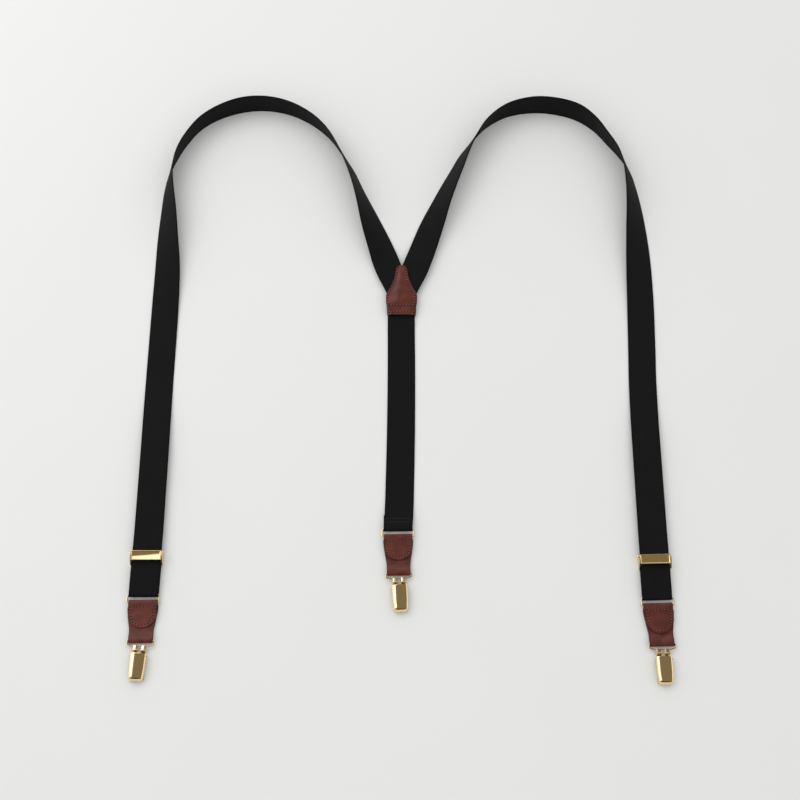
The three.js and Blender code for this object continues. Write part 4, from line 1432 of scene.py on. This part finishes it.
@dataclass
class Clip:
    """A lever clip: back plate with its wire loop, pivot pin, sprung jaw, two grip pads and crowned cover."""

    side: Side
    finishes: Finishes
    pin_y: float = -13.4
    pin_z: float = 4.8
    top_y: float = -11.7
    nose_y: float = -34.4
    half: float = 6.95
    nose_half: float = 6.15
    roof: float = 8.2
    wall: float = 0.75
    skirt: float = 2.0

    def __post_init__(self) -> None:
        """Find the clip from its joints."""
        name = self.side.value
        self.place = Placement.of_joint(f"{name}_clip_swing", f"{name}_cover_open")

    def back_plate(self) -> bpy.types.Object:
        """Build the back plate, its ears, its neck and the wire loop that the tab hangs on."""
        bm = bmesh.new()
        loop = [Vector((10.9, 0, 2.5)), Vector((-10.9, 0, 2.5)), Vector((-10.9, -3.3, 2.5)),
                Vector((-7.2, -4.7, 2.5)), Vector((7.2, -4.7, 2.5)), Vector((10.9, -3.3, 2.5))]
        wire_loop(bm, loop, 0.6, 0.8)
        plate = [(-6.2, -12.2), (-6.4, -31.6), (-6.0, -32.8), (-5.0, -33.5), (-3.6, -33.7), (3.6, -33.7),
                 (5.0, -33.5), (6.0, -32.8), (6.4, -31.6), (6.2, -12.2)]
        plan_plate(bm, plate, 0.1, 1.0)
        y = self.pin_y
        ear = [(y - 2.5, 0.5), (y + 1.2, 0.5), (y + 1.2, 5.2), (y + 0.7, 5.9), (y - 0.7, 5.9), (y - 1.6, 5.0)]
        arm = [(-3.95, 2.5), (-4.3, 3.25), (-5.2, 3.45), (-7.8, 4.3), (-8.6, 4.45), (-9.3, 4.0), (-9.4, 3.2),
               (-9.9, 2.0), (-12.6, 1.0), (-12.6, 0.1), (-10.4, 0.1), (-8.8, 0.9), (-7.8, 2.2), (-5.3, 2.3),
               (-5.0, 1.8), (-4.2, 1.8)]
        for sign in (-1, 1):
            side_plate(bm, ear, sign * 5.1, 0.7)
            side_plate(bm, arm, sign * 3.5, 3.6, 0.25)
            add_bar(bm, sign * 3.5 - 2.2, sign * 3.5 + 2.2, -8.5, 3.7, 1.05, 24, 0.3)
        add_block(bm, (-4.6, -33.6, 0.5), (4.6, -32.8, 2.0), 0.2)
        place_bmesh(bm, self.place)
        return to_object(f"{self.side.value}_clip_back_plate", bm)

    def pivot(self) -> bpy.types.Object:
        """Build the pivot pin with rounded ends."""
        bm = bmesh.new()
        add_bar(bm, -self.half - 0.6, self.half + 0.6, self.pin_y, self.pin_z, 0.7, 20, 0.3)
        place_bmesh(bm, self.place)
        return to_object(f"{self.side.value}_clip_pivot", bm, 60.0)

    def grip(self, front: bool) -> bpy.types.Object:
        """Build a toothed grip pad.

        Args:
            front: True for the jaw's pad, False for the back plate's.

        Returns:
            The pad.
        """
        bm = bmesh.new()
        flat, tip = (3.4, 2.4) if front else (1.3, 2.0)
        root = tip + (0.35 if front else -0.35)
        start, end, pitch = -16.4, -32.2, 1.55
        outline = [(start, flat), (start, root)]
        count = int((start - end) / pitch)
        for i in range(count):
            y = start - i * pitch
            outline += [(y - 0.1, root), (y - pitch * 0.5, tip), (y - pitch + 0.1, root)]
        outline += [(end, root), (end, flat)]
        side_plate(bm, outline, 0.0, 10.0, 0.0)
        place_bmesh(bm, self.place)
        return to_object(f"{self.side.value}_{'front' if front else 'back'}_grip_pad", bm, 25.0)

    def jaw(self) -> bpy.types.Object:
        """Build the sprung jaw plate with its two eared lugs."""
        bm = bmesh.new()
        y = self.pin_y
        add_block(bm, (-4.6, -32.4, 3.7), (4.6, y - 2.2, 4.4), 0.2)
        ear = [(y - 4, 3.7), (y - 1.8, 3.7), (y + 1.1, 4.2), (y + 1.1, 5.4), (y + 0.6, 6.0), (y - 1.4, 6.0),
               (y - 4, 4.4)]
        for sign in (-1, 1):
            side_plate(bm, ear, sign * 4.1, 0.7)
        leaf = [(y - 1.6, 4.4), (y - 5, 6.2), (y - 10, 6.6), (y - 12, 5.4), (y - 12.2, 4.3), (y - 11.6, 4.3),
                (y - 11.2, 5.2), (y - 9.8, 6.2), (y - 5.2, 5.8), (y - 2.4, 4.3)]
        side_plate(bm, leaf, 0.0, 4.0, 0.05)
        place_bmesh(bm, self.place)
        return to_object(f"{self.side.value}_clip_jaw_plate", bm)

    def cover(self) -> bpy.types.Object:
        """Build the crowned cover: an arched shell whose end curls down to a rounded nose."""
        around, along = 40, 60
        turn_in = 3.6
        bend = 3.0
        bm = bmesh.new()
        bmesh.ops.create_grid(bm, x_segments=around, y_segments=along, size=0.5)
        straight = self.top_y - self.nose_y - turn_in
        for vert in bm.verts:
            u = vert.co.x * 2
            v = vert.co.y + 0.5
            down = max(v - 0.6, 0) / 0.4 * math.pi / 2
            y = self.top_y - min(v / 0.6, 1) * straight - turn_in * math.sin(down) ** 0.85
            roof = self.skirt + 0.3 + (self.roof - self.skirt - 0.3) * max(math.cos(down), 0.0) ** 0.72
            from_nose = max(y - self.nose_y, 0.0)
            half = self.half - 0.1 * smoothstep((self.top_y - y) / 10)
            half -= (self.half - 0.1 - self.nose_half) * smoothstep((12 - from_nose) / 12)
            if from_nose < bend:
                half += math.sqrt(bend ** 2 - (bend - from_nose) ** 2) - bend
            angle = u * math.pi / 2
            across = math.copysign(abs(math.sin(angle)) ** 0.76, u)
            lift = abs(math.cos(angle)) ** 0.92
            shoulder = min(3.6, roof - self.skirt)
            z = roof - shoulder + shoulder * lift
            if abs(u) > 0.8:
                z = self.skirt + (z - self.skirt) * (1 - (abs(u) - 0.8) / 0.2) ** 0.9
            vert.co = Vector((half * across, y, z))
        bmesh.ops.remove_doubles(bm, verts=bm.verts, dist=0.004)
        place_bmesh(bm, self.place)
        bmesh.ops.recalc_face_normals(bm, faces=bm.faces)
        if sum(f.normal.z * f.calc_area() for f in bm.faces) < 0:
            bmesh.ops.reverse_faces(bm, faces=bm.faces)
        thing = to_object(f"{self.side.value}_clip_cover_shell", bm, 180.0)
        shell = thing.modifiers.new("thickness", "SOLIDIFY")
        shell.thickness = self.wall * MM
        shell.offset = -1.0
        rounding = thing.modifiers.new("rounded rims", "BEVEL")
        rounding.width = 0.16 * MM
        rounding.segments = 2
        rounding.limit_method = "ANGLE"
        rounding.angle_limit = math.radians(50)
        return settle(thing)

    def build(self) -> None:
        """Build the clip's pieces."""
        name = self.side.value
        gilt, pad = self.finishes.gilt, self.finishes.pad
        parts = ((self.back_plate(), "clip_base", "clip", gilt, Slot.GILT),
                 (self.pivot(), "clip_pin", "clip", gilt, Slot.GILT),
                 (self.grip(False), "clip_back_pad", "clip", pad, Slot.PAD),
                 (self.grip(True), "clip_front_pad", "jaw", pad, Slot.PAD),
                 (self.jaw(), "clip_jaw", "jaw", gilt, Slot.GILT),
                 (self.cover(), "clip_cover", "cover", gilt, Slot.GILT))
        for piece, node, body, material, slot in parts:
            dress(piece, material)
            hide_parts(f"{name}_{node}")
            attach(piece, f"{name}_{body}")


# ---------------------------------------------------------------- studio


@dataclass(frozen=True)
class Studio:
    """The camera, a pale table top and soft light from the upper left."""

    tilt: float = 25.0
    distance: float = 1.2378
    lens: float = 61.717
    aim: tuple[float, float] = (-0.0014, -0.112)
    floor_size: float = 6.0
    ambient: tuple[float, float, float, float] = (0.885, 0.887, 0.87, 1.0)
    ceiling: tuple[float, float, float, float] = (0.215, 0.185, 0.125, 1.0)

    def camera(self) -> None:
        """Place the camera, tilted from straight down towards the clips."""
        data = bpy.data.cameras.new("camera")
        data.lens = self.lens
        data.sensor_width = 36.0
        data.clip_end = 50.0
        camera = bpy.data.objects.new("camera", data)
        slope = math.radians(self.tilt)
        camera.location = (self.aim[0], self.aim[1] - self.distance * math.sin(slope),
                           self.distance * math.cos(slope))
        camera.rotation_euler = (slope, 0.0, 0.0)
        bpy.context.scene.collection.objects.link(camera)
        bpy.context.scene.camera = camera

    def floor(self) -> None:
        """Make the table top."""
        bm = bmesh.new()
        bmesh.ops.create_grid(bm, x_segments=1, y_segments=1, size=self.floor_size / 2)
        floor = to_object("floor", bm)
        material, b, shader = start_material("table_paper")
        mottle = b.node("ShaderNodeTexNoise", {"Vector": in_millimetres(b), "Scale": 0.01, "Detail": 2.0})
        b.tree.links.new(b.mix(mottle.outputs[0], (0.80, 0.805, 0.80, 1), (0.815, 0.82, 0.815, 1)),
                         shader.inputs["Base Color"])
        shader.inputs["Roughness"].default_value = 0.9
        shader.inputs["Specular IOR Level"].default_value = 0.2
        floor.data.materials.append(material)

    def softbox(self, name: str, place: Vector, turn: float, size: tuple[float, float], power: float,
                colour: tuple[float, float, float]) -> None:
        """Hang one rectangular light, facing straight down.

        Args:
            name: the light's name.
            place: where it hangs, in metres.
            turn: its turn about +Z, in degrees.
            size: its width and height.
            power: in watts.
            colour: its colour.
        """
        data = bpy.data.lights.new(name, "AREA")
        data.shape = "RECTANGLE"
        data.size, data.size_y = size
        data.energy = power
        data.color = colour
        light = bpy.data.objects.new(name, data)
        light.location = place
        light.rotation_euler = (0.0, 0.0, math.radians(turn))
        bpy.context.scene.collection.objects.link(light)

    def sky(self) -> None:
        """Light the table evenly, and show pale walls, a dark south wall and a warm ceiling in reflections."""
        world = bpy.data.worlds.new("room")
        world.use_nodes = True
        world.node_tree.nodes.clear()
        b = NodeBuilder(world.node_tree)
        coordinates = b.node("ShaderNodeTexCoord")
        parts = b.node("ShaderNodeSeparateXYZ", {0: coordinates.outputs["Generated"]})
        leaning = b.math("ADD", parts.outputs[2], b.math("MULTIPLY", parts.outputs[0], 0.4))
        high = b.ramp(leaning, 0.5, 0.76)
        south = b.ramp(b.math("MULTIPLY", parts.outputs[1], -1.0), 0.25, 0.6)
        walls = b.mix(south, (1.3, 1.28, 1.24, 1), (0.05, 0.045, 0.035, 1))
        mirrored = b.mix(high, walls, self.ceiling)
        rays = b.node("ShaderNodeLightPath")
        colour = b.mix(rays.outputs["Is Glossy Ray"], self.ambient, mirrored)
        shade = b.node("ShaderNodeBackground", {"Color": colour, "Strength": 1.0})
        b.node("ShaderNodeOutputWorld", {"Surface": shade.outputs[0]})
        bpy.context.scene.world = world

    def build(self) -> None:
        """Set up the whole studio."""
        self.camera()
        self.floor()
        self.sky()
        self.softbox("window", Vector((-1.13, 0.58, 1.3)), 18.8, (1.6, 1.2), 7.5, (1.0, 0.998, 0.985))
        bpy.context.scene.view_settings.view_transform = "Standard"
        bpy.context.scene.view_settings.look = "None"


def main() -> None:
    """Build the studio and every sub-assembly, and report each piece."""
    logging.basicConfig(level=logging.INFO, format="%(name)s %(message)s")
    Studio().build()
    finishes = Finishes()
    Yoke(finishes).build()
    ShoulderStrap(Side.LEFT, finishes, LEFT_ROUTE, 1).build()
    ShoulderStrap(Side.RIGHT, finishes, RIGHT_ROUTE, -1).build()
    RearStrap(finishes).build()
    for side in Side:
        Ring(side, finishes).build()
        Tab(side, finishes, FLAP_LENGTHS[side]).build()
        Clip(side, finishes).build()
    Adjuster(Side.LEFT, finishes, 1).build()
    Adjuster(Side.RIGHT, finishes, -1).build()
    bpy.context.view_layer.update()


if __name__ == "__main__":
    main()
